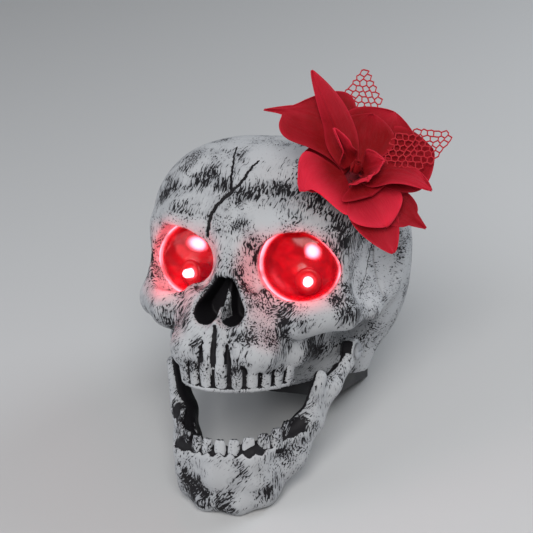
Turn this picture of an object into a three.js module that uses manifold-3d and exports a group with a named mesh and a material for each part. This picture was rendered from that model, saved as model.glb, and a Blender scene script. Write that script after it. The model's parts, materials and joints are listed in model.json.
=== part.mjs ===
// Light-up halloween skull with a hinged jaw, red lens eyes and a fabric flower.
// Millimetres, +Z up. The skull is modelled level in its own frame, with +X to the skull's
// left, -Y out of the face and z = 0 at the bottom of its base. It then leans back until
// it rests on the rear edge of the base and on its open chin.
import * as THREE from "three";
import { mergeVertices } from "three/addons/utils/BufferGeometryUtils.js";
import Module from "manifold-3d";

const wasm = await Module();
wasm.setup();

// Fits
const CLEARANCE = 0.3;
const WALL = 2.6;

// Spacing of the points that bone surfaces are made from
const FACE_GRID = 7;
const BROW_GRID = 11;
const DOME_GRID = 15;
const HOLLOW_GRID = 16;
const JAW_GRID = 6.6;

// Skull
const SKULL_WIDTH = 136;
const SKULL_LENGTH = 160;
const SKULL_HEIGHT = 141;
const FOREHEAD_WIDTH = 132;
const CHEEK_WIDTH = 122;
const SEAM_Y = 6;
const RIM_Z = 14;
const BRAIN_Y = 32;

// Eye sockets, lenses, cups and lamps
const EYE_SPACING = 67.6;
const EYE_Y = -34;
const EYE_Z = 81.5;
const EYE_WIDTH = 45;
const EYE_HEIGHT = 43;
const EYE_DEPTH = 25;
const EYE_TURN = 21;
const EYE_DROOP = 14;
const EYELID = 14.5;
const EYELID_TURN = 24;
const EYE_SEGMENTS = 18;
const SOCKET_STEPS = 5;
const CUP_WALL = 1.4;
const LENS_SEAT = 2;
const LENS_THICKNESS = 1.4;
const LENS_DOME = 4;
const LED_DIAMETER = 5;
const LED_LENGTH = 8.6;
const LED_OUT = 6;
const LED_BELOW = 9;
const LED_TIP_Y = 1.5;
const LED_SHOWN = 5;
const HOLDER_WIDTH = 15;
const HOLDER_THICKNESS = 2;
const HOLDER_NECK = 8.6;

// Nose
const NOSE_WIDTH = 31;
const NOSE_HEIGHT = 26.5;
const NOSE_Z = 48.5;
const NOSE_BACK_Y = -43;
const HOLLOW_FRONT_Y = -44;
const SEPTUM = 2.4;

// Teeth
const UPPER_ARCH = { halfWidth: 31, depth: 38, backY: -32, edgeZ: 17, height: 15, thickness: 7 };
const LOWER_ARCH = { halfWidth: 31.5, depth: 36, backY: -33.5, edgeZ: -9, height: 13, thickness: 5 };
const UPPER_WIDTHS = [8.6, 7.6, 8, 7.8, 8, 9.4];
const LOWER_WIDTHS = [7, 7.1, 7.5, 7.6, 8, 9.4];
const LOWER_SLOPE = 16;
const TOOTH_GAP = 0.5;

// Jaw hinge
const HINGE_Y = -5;
const HINGE_Z = 31;
const HINGE_SHANK = 4;
const HINGE_HEAD = 9;
const HINGE_HEAD_HEIGHT = 2.6;
const HINGE_BOSS = 11;
const HINGE_BOSS_X = 47.2;
const HINGE_GRIP = 12;
const WASHER = 1;
const JAW_EAR = 13;
const JAW_EAR_THICKNESS = 6.6;

// Base housing with its battery bay
const BASE_WIDTH = 72;
const BASE_CORNER = 10;
const BASE_FRONT_Y = SEAM_Y + 1.2;
const BASE_WALL = 2.4;
const REST_TRIM = 1;
const CELL_DIAMETER = 10.4;
const CELL_LENGTH = 44.4;
const CELL_COUNT = 3;
const CELL_PITCH = 11;
const CELL_NUB = 1;
const SPRING_LENGTH = 4.5;
const SPRING_WIDTH = 6;
const SPRING_WIRE = 0.8;
const SPRING_TURNS = 3;
const CONTACT = 0.6;
const CONTACT_SIZE = 8;
const BAY_FRONT = 5;
const DOOR = 2.2;
const DOOR_LIP = 1.6;
const DOOR_TAB = 9;
const DOOR_TAB_OUT = 3.6;
const DOOR_BOSS_TOP = 7.6;
const DOOR_SCREW_LENGTH = 6.6;
const SCREW_SHANK = 3;
const SCREW_HEAD = 5.6;
const SCREW_HEAD_HEIGHT = 1.8;
const SCREW_LENGTH = 26;
const SCREW_FRONT_X = 31;
const SCREW_REAR_X = 20;
const SCREW_INSET = 7.6;
const POST = 7;
const RIB_REACH = 30;
const SWITCH_FROM_REAR = 14;
const SWITCH_BODY = [12, 6, 5];
const SWITCH_GAP = 2.3;
const SWITCH_KNOB = [4, 3];
const SWITCH_TRAVEL = 4;
const KNOB_RECESS = 0.8;
const BOARD = [30, 13, 1.6];
const LEAD_DIAMETER = 2.4;
const BAY_DEPTH = CELL_COUNT * CELL_PITCH + 2 * CLEARANCE;
const BASE_LENGTH = BAY_FRONT + BAY_DEPTH + DOOR_TAB_OUT + DOOR_TAB / 2 + SWITCH_GAP
  + SWITCH_BODY[1] / 2 + SWITCH_FROM_REAR;

// Flower: each petal has an azimuth about the flower's axis, a length and a width.
// What a petal doesn't say for itself is taken from its layer.
const FLOWER_AT = [47, -14, 116];
const FLOWER_AXIS = [0.42, -0.72, 0.55];
const FLOWER_ACROSS = [0.91, 0.41, 0];
const PAD_DIAMETER = 22;
const PAD_HEIGHT = 8;
const PEG_DIAMETER = 4.6;
const PEG_FLANGE = 13;
const PEG_FLANGE_HEIGHT = 1.6;
const FABRIC = 0.8;
const LAYER_STEP = 2.2;
const LAYER_RING = 12;
const PETAL_ROOT = 7;
const PETAL_TIP = 1.2;
const LAYERS = [
  {
    lift: -6, fullness: 0.85, curl: 0, cup: 0.1, ruffle: 0.8,
    petals: [
      { azimuth: 297, length: 41.5, width: 26 },
      { azimuth: 326, length: 42, width: 22 },
      { azimuth: 158, length: 26, width: 30, fullness: 1.2 },
    ],
  },
  {
    lift: 10, fullness: 1.4, curl: 0, cup: 0.12, ruffle: 0.8,
    petals: [
      { azimuth: 143, length: 55.5, width: 35, fullness: 0.66 },
      { azimuth: 18, length: 40, width: 36 },
      { azimuth: 58, length: 38, width: 40 },
      { azimuth: 198, length: 26, width: 40, lift: 14, curl: -0.25 },
      { azimuth: 297, length: 25.5, width: 34, lift: 14, curl: -0.25 },
    ],
  },
  {
    lift: 24, fullness: 0.9, curl: 0, cup: 0.12, ruffle: 0.8,
    petals: [
      { azimuth: 118, length: 54.5, width: 22, cup: 0.5, fullness: 0.8 },
      { azimuth: 336, length: 37.5, width: 20, curl: -0.06 },
      { azimuth: 300, length: 14, width: 30, lift: 30, fullness: 1.5 },
      { azimuth: 74, length: 31, width: 30, fullness: 1.4 },
    ],
  },
  {
    lift: 44, fullness: 1.3, curl: 0, cup: 0.1, ruffle: 0.4,
    petals: [
      { azimuth: 20, length: 13, width: 12 },
      { azimuth: 100, length: 14, width: 12 },
      { azimuth: 300, length: 11, width: 14 },
    ],
  },
];
const BUD_WIDTH = 6;
const BUD_HEIGHT = 10;
const NET_STRAND = 0.9;
const NET_PITCH = 6;
const NET_THICKNESS = 0.6;
const NET_ROOT = 4;
const NET_FULLNESS = 0.96;
const NET_CLAMP = 2;
const NET_WAVE = 1;
const NET_COLUMNS = 12;
const NET_WINGS = [
  { name: "top", azimuth: 84, length: 58, width: 25, level: 1, lift: 7 },
  { name: "right", azimuth: 21, length: 47, width: 26, level: 2, lift: 16 },
];

const RADIANS = Math.PI / 180;
const BONE = new THREE.MeshStandardMaterial({ color: 0xb9bcc0, roughness: 0.62, metalness: 0 });
const BLACK = new THREE.MeshStandardMaterial({ color: 0x141416, roughness: 0.55, metalness: 0 });
const RED_LENS = new THREE.MeshStandardMaterial({ color: 0xd01028, roughness: 0.12, metalness: 0 });
const RED_CUP = new THREE.MeshStandardMaterial({ color: 0x8e0c1c, roughness: 0.2, metalness: 0 });
const LED_RED = new THREE.MeshStandardMaterial({ color: 0xff5060, roughness: 0.15, metalness: 0 });
const STEEL = new THREE.MeshStandardMaterial({ color: 0xb8bcc2, roughness: 0.35, metalness: 1 });
const BOARD_GREEN = new THREE.MeshStandardMaterial({ color: 0x1c5c34, roughness: 0.6, metalness: 0 });
const CELL_JACKET = new THREE.MeshStandardMaterial({ color: 0x3a3d42, roughness: 0.4, metalness: 0.2 });
const PETAL_RED = new THREE.MeshStandardMaterial({ color: 0xb81030, roughness: 0.8, metalness: 0 });
const NET_RED = new THREE.MeshStandardMaterial({ color: 0x9c1a26, roughness: 0.8, metalness: 0 });
const FELT = new THREE.MeshStandardMaterial({ color: 0x7a1020, roughness: 0.95, metalness: 0 });
const WIRE = new THREE.MeshStandardMaterial({ color: 0xa81820, roughness: 0.6, metalness: 0 });

// Solids

// Closed geometry as a solid whose faces point out, without the empty triangles at a pole.
function solid(geometry) {
  const bare = geometry.clone();
  bare.deleteAttribute("normal");
  bare.deleteAttribute("uv");
  const merged = mergeVertices(bare, 1e-4);
  const points = merged.attributes.position.array;
  const index = merged.index.array;
  const corner = (i) => new THREE.Vector3().fromArray(points, 3 * i);
  const triangles = [];
  let volume = 0;
  for (let i = 0; i < index.length; i += 3) {
    const [a, b, c] = [index[i], index[i + 1], index[i + 2]];
    if (a === b || b === c || c === a) continue;
    triangles.push([a, b, c]);
    volume += corner(a).dot(corner(b).cross(corner(c)));
  }
  const facing = volume > 0 ? triangles : triangles.map(([a, b, c]) => [a, c, b]);
  return new wasm.Manifold(new wasm.Mesh({
    numProp: 3,
    vertProperties: Float32Array.from(points),
    triVerts: Uint32Array.from(facing.flat()),
  }));
}

function geometryOf(body) {
  const mesh = body.getMesh();
  const geometry = new THREE.BufferGeometry();
  geometry.setAttribute("position", new THREE.BufferAttribute(Float32Array.from(mesh.vertProperties), 3));
  geometry.setIndex(new THREE.BufferAttribute(Uint32Array.from(mesh.triVerts), 1));
  geometry.computeVertexNormals();
  return geometry;
}

function boxBetween(low, high) {
  const size = high.map((value, i) => value - low[i]);
  const geometry = new THREE.BoxGeometry(...size);
  return geometry.translate(...low.map((value, i) => value + size[i] / 2));
}

// A rod along X, Y or Z from one end to the other.
function rod(axis, diameter, from, to, centre, sides = 20) {
  const geometry = new THREE.CylinderGeometry(diameter / 2, diameter / 2, to - from, sides);
  if (axis === "x") geometry.rotateZ(-Math.PI / 2);
  if (axis === "z") geometry.rotateX(Math.PI / 2);
  const middle = (from + to) / 2;
  const place = { x: [middle, ...centre], y: [centre[0], middle, centre[1]], z: [...centre, middle] };
  return geometry.translate(...place[axis]);
}

function roundedOutline(width, length, corner) {
  const shape = new THREE.Shape();
  const [a, b] = [width / 2 - corner, length / 2 - corner];
  shape.absarc(a, b, corner, 0, Math.PI / 2);
  shape.absarc(-a, b, corner, Math.PI / 2, Math.PI);
  shape.absarc(-a, -b, corner, Math.PI, 1.5 * Math.PI);
  shape.absarc(a, -b, corner, 1.5 * Math.PI, 2 * Math.PI);
  return shape;
}

function extrude(shape, height, steps = 4) {
  return new THREE.ExtrudeGeometry(shape, { depth: height, bevelEnabled: false, curveSegments: steps });
}

function lathe(points, segments = 20) {
  return new THREE.LatheGeometry(points.map(([r, h]) => new THREE.Vector2(r, h)), segments);
}

// Smooth bone forms: distance fields of balls and tapered bars, blended together

const { abs, hypot, max, min, sin, cos } = Math;

function blendJoin(a, b, reach) {
  const h = max(reach - abs(a - b), 0) / reach;
  return min(a, b) - h * h * reach / 4;
}

const blendCut = (a, b, reach) => -blendJoin(-a, b, reach);

function ball(p, centre, radii) {
  const q = p.map((value, i) => (value - centre[i]) / radii[i]);
  const near = hypot(...q);
  const slope = hypot(q[0] / radii[0], q[1] / radii[1], q[2] / radii[2]);
  return slope < 1e-9 ? -min(...radii) : near * (near - 1) / slope;
}

function bar(p, from, to, startRadius, endRadius) {
  const run = to.map((value, i) => value - from[i]);
  const away = p.map((value, i) => value - from[i]);
  const along = (away[0] * run[0] + away[1] * run[1] + away[2] * run[2])
    / (run[0] ** 2 + run[1] ** 2 + run[2] ** 2);
  const t = max(0, min(1, along));
  const gap = hypot(away[0] - run[0] * t, away[1] - run[1] * t, away[2] - run[2] * t);
  return gap - startRadius - (endRadius - startRadius) * t;
}

const CROWN_RADIUS = SKULL_HEIGHT / 2;
const BRAIN = { at: [0, BRAIN_Y, CROWN_RADIUS], radii: [SKULL_WIDTH / 2, SKULL_LENGTH / 2, CROWN_RADIUS] };
const FRONTAL = { at: [0, 5, SKULL_HEIGHT - 51], radii: [FOREHEAD_WIDTH / 2, 50, 51] };
const PARIETAL_X = 30;
const PARIETAL = { at: [PARIETAL_X, 25, SKULL_HEIGHT - 46], radii: [SKULL_WIDTH / 2 - PARIETAL_X, 54, 46] };
const BROW_BOSS = { at: [34, 0, 100], radii: [28, 33, 35] };
const MAXILLA = { at: [0, -30, 52], radii: [34, 34, 32] };
const ARCH_X = CHEEK_WIDTH / 2;

// Each bar: start, end, start radius, end radius, reach of the blend. One side; the other mirrors it.
const CRANIUM_BARS = {
  innerBrow: [[9, -39.5, 102], [33, -39, 105], 5, 5, 14],
  outerBrow: [[33, -39, 105], [49.5, -26, 97], 5, 4.5, 14],
  outerRim: [[50, -26, 97], [53, -27, 74], 4.5, 6, 9],
  cheekbone: [[53.5, -30, 58], [38, -46, 55], 10, 11, 12],
  archFront: [[ARCH_X - 6, -26, 54], [ARCH_X, -4, 56], 8, 5.5, 8],
  archRear: [[ARCH_X, -4, 56], [ARCH_X + 1, 20, 64], 5.5, 6, 8],
  nasalBones: [[0, -38, 97], [0, -48, 78], 6, 6, 10],
  noseTop: [[6, -35, 94], [10, -43, 72], 4, 4.5, 8],
  noseFlank: [[10, -43, 72], [19, -56, 54], 5, 8, 10],
  canine: [[17, -55, 53], [19, -58, 38], 6, 7, 12],
  upperLip: [[0, -58, 46], [15, -54.5, 46], 9, 9, 10],
  gumFront: [[0, -62, 36], [19, -57, 36], 9, 9, 8],
  gumSide: [[19, -57, 36], [29, -34, 35], 9, 8, 8],
  gumRear: [[29, -34, 35], [29, -22, 36], 8, 8, 8],
};
const MASTOID = { at: [42, 22, 20], radii: [9, 12, 14], reach: 12 };
const CHEEK_HOLLOW = { at: [29, -68, 60], radii: [8, 10, 11], reach: 12 };
const EYE_CORNER = { at: [16, -52, 82], radii: [6.5, 9, 13], reach: 7 };
const TEMPLE_HOLLOW = { at: [75, -6, 84], radii: [16, 26, 24], reach: 12 };
const ARCH_GAP = [[51, -24, 38], [53, 2, 44], 9, 9, 8];
const PALATE = { at: [0, -36, 18], radii: [21, 30, 16] };
const NOSE_POCKET = {
  at: [0, -52, NOSE_Z + NOSE_HEIGHT / 2],
  radii: [NOSE_WIDTH / 2 + 2, 14, NOSE_HEIGHT / 2 + 5],
};

// The big rounded forms of the head, at a point that is already mirrored to one side.
function headField(p) {
  let d = ball(p, BRAIN.at, BRAIN.radii);
  d = blendJoin(d, ball(p, FRONTAL.at, FRONTAL.radii), 22);
  for (const form of [PARIETAL, BROW_BOSS, MAXILLA]) d = blendJoin(d, ball(p, form.at, form.radii), 14);
  return d;
}

function craniumField(x, y, z) {
  const p = [abs(x), y, z];
  let d = headField(p);
  for (const [from, to, r0, r1, reach] of Object.values(CRANIUM_BARS)) {
    d = blendJoin(d, bar(p, from, to, r0, r1), reach);
  }
  d = blendJoin(d, ball(p, MASTOID.at, MASTOID.radii), MASTOID.reach);
  for (const hollow of [CHEEK_HOLLOW, EYE_CORNER, TEMPLE_HOLLOW]) {
    d = blendCut(d, ball(p, hollow.at, hollow.radii), hollow.reach);
  }
  const [from, to, r0, r1, reach] = ARCH_GAP;
  return blendCut(d, bar(p, from, to, r0, r1), reach);
}

// The hollow inside: only the big forms are hollow, and it keeps clear of nose and palate.
function hollowField(x, y, z) {
  const p = [abs(x), y, z];
  let d = max(headField(p), craniumField(x, y, z)) + WALL;
  d = max(d, HOLLOW_FRONT_Y - y, WALL - ball(p, PALATE.at, PALATE.radii));
  return max(d, WALL - ball(p, NOSE_POCKET.at, NOSE_POCKET.radii));
}

const JAW_BARS = {
  ramus: [[53, HINGE_Y, HINGE_Z], [46.5, -20, 14], 5, 4.5, 1],
  ramusFoot: [[46.5, -20, 14], [38, -28, -6], 4.5, 5.5, 6],
  coronoid: [[44.5, -31, 21], [39.5, -34, 0], 3.4, 4.5, 8],
  angle: [[38, -28, -6], [31, -38, -24], 5.5, 6, 6],
  border: [[31, -38, -24], [20, -53, -39], 6, 7.5, 8],
  chinSide: [[20, -53, -39], [9, -59, -44], 7.5, 8, 8],
  chin: [[9, -59, -44], [0, -60, -43], 8, 8.5, 4],
  lipFront: [[0, -65, -31], [19, -59, -30], 5.5, 5.5, 8],
  lipSide: [[19, -59, -30], [33, -38, -17], 5.5, 5, 8],
  gumFront: [[0, -69, -17.5], [19, -63, -16.5], 5.5, 5.5, 8],
  gumSide: [[19, -63, -16.5], [35, -36, -6], 5.5, 5, 8],
};

function jawField(x, y, z) {
  const p = [abs(x), y, z];
  let d = Infinity;
  for (const [from, to, r0, r1, reach] of Object.values(JAW_BARS)) {
    const next = bar(p, from, to, r0, r1);
    d = d === Infinity ? next : blendJoin(d, next, reach);
  }
  return d;
}

// Grid lines that cover a stretch and are even about its middle.
function evenLines(low, high, step) {
  const count = Math.ceil((high - low) / step);
  const start = (low + high - count * step) / 2;
  return Array.from({ length: count + 1 }, (_, i) => start + i * step);
}

// Grid lines with a fine stretch between two coarse ones.
function gradedLines(low, fineLow, fineHigh, high, fine, coarse) {
  const middle = evenLines(fineLow, fineHigh, fine);
  const [first, last] = [middle[0], middle.at(-1)];
  const lines = (count, start, step) => {
    return Array.from({ length: Math.ceil(count) }, (_, i) => start + (i + 1) * step);
  };
  const before = lines((first - low) / coarse, first, -coarse);
  const after = lines((high - last) / coarse, last, coarse);
  return [...before.reverse(), ...middle, ...after];
}

// Closed skin of a field on a grid: one point in each crossed cell, one quad on each crossed edge.
// A cell that two parts of the form share gets a point for each of them.
function skinOf(field, xs, ys, zs) {
  const [nx, ny, nz] = [xs.length, ys.length, zs.length];
  const at = (i, j, k) => (k * ny + j) * nx + i;
  const value = new Float64Array(nx * ny * nz);
  for (let k = 0; k < nz; k++) for (let j = 0; j < ny; j++) for (let i = 0; i < nx; i++) {
    const edge = i === 0 || j === 0 || k === 0 || i === nx - 1 || j === ny - 1 || k === nz - 1;
    const d = field(xs[i], ys[j], zs[k]);
    value[at(i, j, k)] = edge ? max(d, 0.05) : (d === 0 ? 1e-6 : d);
  }
  const points = [];
  const cellPoint = new Map();
  const corner = [0, 1, 2, 3, 4, 5, 6, 7].map((c) => [c & 1, (c >> 1) & 1, c >> 2]);
  const edges = [];
  for (let a = 0; a < 8; a++) for (const bit of [1, 2, 4]) if (!(a & bit)) edges.push([a, a | bit]);
  for (let k = 0; k < nz - 1; k++) for (let j = 0; j < ny - 1; j++) for (let i = 0; i < nx - 1; i++) {
    const v = corner.map(([a, b, c]) => value[at(i + a, j + b, k + c)]);
    if (v.every((d) => d < 0) || v.every((d) => d > 0)) continue;
    const group = [0, 1, 2, 3, 4, 5, 6, 7];
    for (let pass = 0; pass < 3; pass++) for (const [a, b] of edges) {
      if (v[a] < 0 && v[b] < 0) group[a] = group[b] = min(group[a], group[b]);
    }
    const sums = new Map();
    for (const [a, b] of edges) {
      if ((v[a] < 0) === (v[b] < 0)) continue;
      const t = v[a] / (v[a] - v[b]);
      const here = [xs, ys, zs].map((lines, n) => {
        const [from, to] = [[i, j, k][n] + corner[a][n], [i, j, k][n] + corner[b][n]];
        return lines[from] + (lines[to] - lines[from]) * t;
      });
      const key = group[v[a] < 0 ? a : b];
      const sum = sums.get(key) ?? [0, 0, 0, 0];
      sums.set(key, [sum[0] + here[0], sum[1] + here[1], sum[2] + here[2], sum[3] + 1]);
    }
    const cell = { group, index: new Map() };
    for (const [key, [x, y, z, count]] of sums) {
      cell.index.set(key, points.length / 3);
      points.push(x / count, y / count, z / count);
    }
    cellPoint.set(at(i, j, k), cell);
  }
  const faces = [];
  const pick = (i, j, k, inside) => {
    const cell = cellPoint.get(at(i, j, k));
    const local = (inside[0] - i) + 2 * (inside[1] - j) + 4 * (inside[2] - k);
    return cell.index.get(cell.group[local]);
  };
  for (let k = 0; k < nz; k++) for (let j = 0; j < ny; j++) for (let i = 0; i < nx; i++) {
    for (let axis = 0; axis < 3; axis++) {
      const end = [i, j, k];
      end[axis] += 1;
      if (end[0] >= nx || end[1] >= ny || end[2] >= nz) continue;
      const [from, to] = [value[at(i, j, k)], value[at(...end)]];
      if ((from < 0) === (to < 0)) continue;
      const inside = from < 0 ? [i, j, k] : end;
      const [u, w] = [(axis + 1) % 3, (axis + 2) % 3];
      const ring = [[0, 0], [-1, 0], [-1, -1], [0, -1]].map(([a, b]) => {
        const c = [i, j, k];
        c[u] += a;
        c[w] += b;
        return pick(...c, inside);
      });
      if (from < 0) faces.push(ring[0], ring[1], ring[2], ring[0], ring[2], ring[3]);
      else faces.push(ring[0], ring[2], ring[1], ring[0], ring[3], ring[2]);
    }
  }
  const geometry = new THREE.BufferGeometry();
  geometry.setAttribute("position", new THREE.Float32BufferAttribute(points, 3));
  geometry.setIndex(faces);
  return geometry;
}

// Teeth: rounded crowns set side by side along a dental arch

function archTeeth(arch, widths, slope) {
  const place = (t) => [arch.halfWidth * sin(t), arch.backY - arch.depth * cos(t)];
  const teeth = [];
  let t = 0;
  for (const width of widths) {
    const start = t;
    while (hypot(place(t)[0] - place(start)[0], place(t)[1] - place(start)[1]) < width) t += 0.002;
    const [x, y] = place((start + t) / 2);
    const [end, begin] = [place(t), place(start)];
    const turn = Math.atan2(end[1] - begin[1], end[0] - begin[0]);
    const rise = (y - arch.backY + arch.depth) * Math.tan(slope * RADIANS);
    teeth.push({ x, y, turn, rise, width: width - TOOTH_GAP });
  }
  return teeth;
}

function crown(width, height, thickness) {
  const round = min(width, height) * 0.22;
  const shape = new THREE.Shape();
  shape.moveTo(-width / 2 + round, 0);
  shape.lineTo(width / 2 - round, 0);
  shape.lineTo(width / 2, round);
  shape.lineTo(width * 0.45, height);
  shape.lineTo(-width * 0.45, height);
  shape.lineTo(-width / 2, round);
  shape.closePath();
  const bevel = thickness * 0.2;
  const geometry = new THREE.ExtrudeGeometry(shape, {
    depth: thickness - 2 * bevel, bevelEnabled: true, bevelSize: bevel, bevelOffset: -bevel,
    bevelThickness: bevel, bevelSegments: 1,
  });
  return geometry.translate(0, 0, bevel - thickness / 2).rotateX(Math.PI / 2);
}

// Crown edges lie at the arch's edge height, and the crowns run up (1) or down (-1) into the gum.
function toothSolids(arch, widths, slope, upward) {
  const solids = [];
  for (const side of [1, -1]) for (const tooth of archTeeth(arch, widths, slope)) {
    const geometry = crown(tooth.width, arch.height, arch.thickness);
    if (upward < 0) geometry.rotateY(Math.PI);
    geometry.rotateZ(side * tooth.turn);
    geometry.translate(side * tooth.x, tooth.y, arch.edgeZ + tooth.rise);
    solids.push(solid(geometry));
  }
  return solids;
}

// Eyes: each sits in a frame turned outwards and drooping at its outer end

function eyeMatrix(side) {
  const turn = new THREE.Euler(0, side * EYE_DROOP * RADIANS, side * EYE_TURN * RADIANS, "ZYX");
  const place = new THREE.Vector3(side * EYE_SPACING / 2, EYE_Y, EYE_Z);
  return new THREE.Matrix4().makeRotationFromEuler(turn).setPosition(place);
}

const CUP_WIDTH = EYE_WIDTH - 2 * CLEARANCE;
const CUP_HEIGHT = EYE_HEIGHT - 2 * CLEARANCE;
const CUP_DEPTH = EYE_DEPTH - CLEARANCE;
const LED_HOLE = LED_DIAMETER + 2 * CLEARANCE;
const LED_BACK_Y = LED_TIP_Y + LED_LENGTH;
const lampPlace = (side) => [side * LED_OUT, -LED_BELOW];

function ovalLathe(points, width, height, segments) {
  return lathe(points, segments).scale(width / 2, 1, height / 2);
}

// Angles from the lens seat (or from another start) to the bottom of the socket.
function socketArc(start, end, steps) {
  return Array.from({ length: steps + 1 }, (_, i) => start + (end - start) * i / steps);
}

const SEAT_ANGLE = Math.asin((LENS_SEAT + CLEARANCE) / CUP_DEPTH);

// The space below the straight upper lid, which falls towards the outer corner of the eye.
function belowLid(side, margin) {
  const space = boxBetween([-FAR, -FAR, -FAR], [FAR, FAR, EYELID - margin]);
  return space.rotateY(side * EYELID_TURN * RADIANS);
}

// The socket is cut with the same facets as the cup that sits in it.
function socketCutter(side) {
  const front = socketArc(-Math.PI / 2, SEAT_ANGLE, SOCKET_STEPS - 1).slice(0, -1);
  const angles = [...front, ...socketArc(SEAT_ANGLE, Math.PI / 2, SOCKET_STEPS)];
  const points = angles.map((a) => [cos(a), EYE_DEPTH * sin(a)]);
  points[0][0] = 0;
  points.at(-1)[0] = 0;
  const socket = solid(ovalLathe(points, EYE_WIDTH, EYE_HEIGHT, EYE_SEGMENTS).applyMatrix4(eyeMatrix(side)));
  return socket.intersect(solid(belowLid(side, 0).applyMatrix4(eyeMatrix(side))));
}

function cupSolid(side) {
  const inner = 1 - 2 * CUP_WALL / CUP_HEIGHT;
  const arc = socketArc(SEAT_ANGLE, Math.PI / 2, SOCKET_STEPS);
  const outside = arc.map((a) => [cos(a), CUP_DEPTH * sin(a)]);
  const innerDepth = (a) => max(LENS_SEAT + CLEARANCE, (CUP_DEPTH - CUP_WALL) * sin(a));
  const inside = arc.map((a) => [cos(a) * inner, innerDepth(a)]);
  outside[SOCKET_STEPS][0] = 0;
  inside[SOCKET_STEPS][0] = 0;
  const bowl = solid(ovalLathe([...inside.reverse(), ...outside], CUP_WIDTH, CUP_HEIGHT, EYE_SEGMENTS));
  const body = bowl.intersect(solid(belowLid(side, CLEARANCE)));
  return body.subtract(solid(rod("y", LED_HOLE, 0, EYE_DEPTH, lampPlace(side), 10)));
}

function lensSolid(side) {
  const steps = 3;
  const front = (r) => LENS_SEAT - LENS_THICKNESS - LENS_DOME * (1 - r * r);
  const radii = Array.from({ length: steps + 1 }, (_, i) => i / steps);
  const outside = radii.map((r) => [r, front(r)]);
  const inside = radii.map((r) => [r, front(r) + LENS_THICKNESS]).reverse();
  const seatWidth = CUP_WIDTH * Math.sqrt(1 - (LENS_SEAT / CUP_DEPTH) ** 2) - CLEARANCE;
  const seatHeight = CUP_HEIGHT * Math.sqrt(1 - (LENS_SEAT / CUP_DEPTH) ** 2) - CLEARANCE;
  const disc = solid(ovalLathe([...outside, ...inside], seatWidth, seatHeight, EYE_SEGMENTS));
  return disc.intersect(solid(belowLid(side, CLEARANCE)));
}

function ledGeometry(side) {
  const radius = LED_DIAMETER / 2;
  const arc = [0, 30, 60, 90].map((a) => a * RADIANS);
  const dome = arc.map((a) => [radius * sin(a), LED_TIP_Y + radius * (1 - cos(a))]);
  dome[0][0] = 0;
  const [x, z] = lampPlace(side);
  return lathe([...dome, [radius, LED_BACK_Y], [0, LED_BACK_Y]], 14).translate(x, 0, z);
}

// A disc that the lamp stands in, on a neck that reaches down to the cup's inner wall.
function holderSolid(side) {
  const face = LED_TIP_Y + LED_SHOWN;
  const disc = solid(rod("y", HOLDER_WIDTH, face, face + HOLDER_THICKNESS, lampPlace(side), 14));
  const neck = solid(rod("y", HOLDER_NECK, face, CUP_DEPTH, lampPlace(side), 10));
  const bore = solid(rod("y", LED_HOLE, 0, EYE_DEPTH, lampPlace(side), 10));
  const inner = CUP_WALL + 2 * CLEARANCE;
  const room = new THREE.SphereGeometry(1, 24, 16);
  room.scale(CUP_WIDTH / 2 - inner, CUP_DEPTH - inner, CUP_HEIGHT / 2 - inner);
  return disc.add(neck).intersect(solid(room)).subtract(bore);
}

// Shells

const HINGE = [HINGE_Y, HINGE_Z];
const EAR_X = HINGE_BOSS_X + CLEARANCE + WASHER + CLEARANCE;
const HEAD_X = EAR_X + JAW_EAR_THICKNESS + CLEARANCE;

// A rod along X on one side of the skull; side -1 mirrors it.
function sideRod(side, diameter, from, to, sides = 20) {
  const ends = side > 0 ? [from, to] : [-to, -from];
  return rod("x", diameter, ...ends, HINGE, sides);
}

function noseCutter() {
  const shape = new THREE.Shape();
  const half = NOSE_WIDTH / 2;
  shape.moveTo(0, NOSE_HEIGHT);
  const [foot, flank, waist] = [NOSE_HEIGHT * 0.1, NOSE_HEIGHT * 0.3, NOSE_HEIGHT * 0.55];
  shape.bezierCurveTo(half * 0.55, NOSE_HEIGHT, half * 0.6, waist, half * 0.95, flank);
  shape.bezierCurveTo(half * 1.15, 0, half * 0.45, -foot, 0, foot);
  shape.bezierCurveTo(-half * 0.45, -foot, -half * 1.15, 0, -half * 0.95, flank);
  shape.bezierCurveTo(-half * 0.6, waist, -half * 0.55, NOSE_HEIGHT, 0, NOSE_HEIGHT);
  const reach = 50;
  const geometry = extrude(shape, reach, 5).rotateX(Math.PI / 2);
  return solid(geometry.translate(0, NOSE_BACK_Y, NOSE_Z));
}

function septumSolid() {
  const low = NOSE_Z - 2;
  const high = NOSE_Z + NOSE_HEIGHT + 2;
  const shape = new THREE.Shape();
  shape.moveTo(NOSE_BACK_Y - 2, low);
  shape.lineTo(NOSE_BACK_Y + 2, low);
  shape.lineTo(NOSE_BACK_Y + 2, high);
  shape.lineTo(NOSE_BACK_Y - 4, high);
  shape.lineTo(NOSE_BACK_Y - 10, low + NOSE_HEIGHT * 0.4);
  shape.lineTo(NOSE_BACK_Y - 18, low + 2);
  shape.lineTo(NOSE_BACK_Y - 14, low - 2);
  shape.closePath();
  const geometry = extrude(shape, SEPTUM).rotateX(Math.PI / 2).rotateZ(Math.PI / 2);
  return solid(geometry.translate(-SEPTUM / 2, 0, 0));
}

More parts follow.
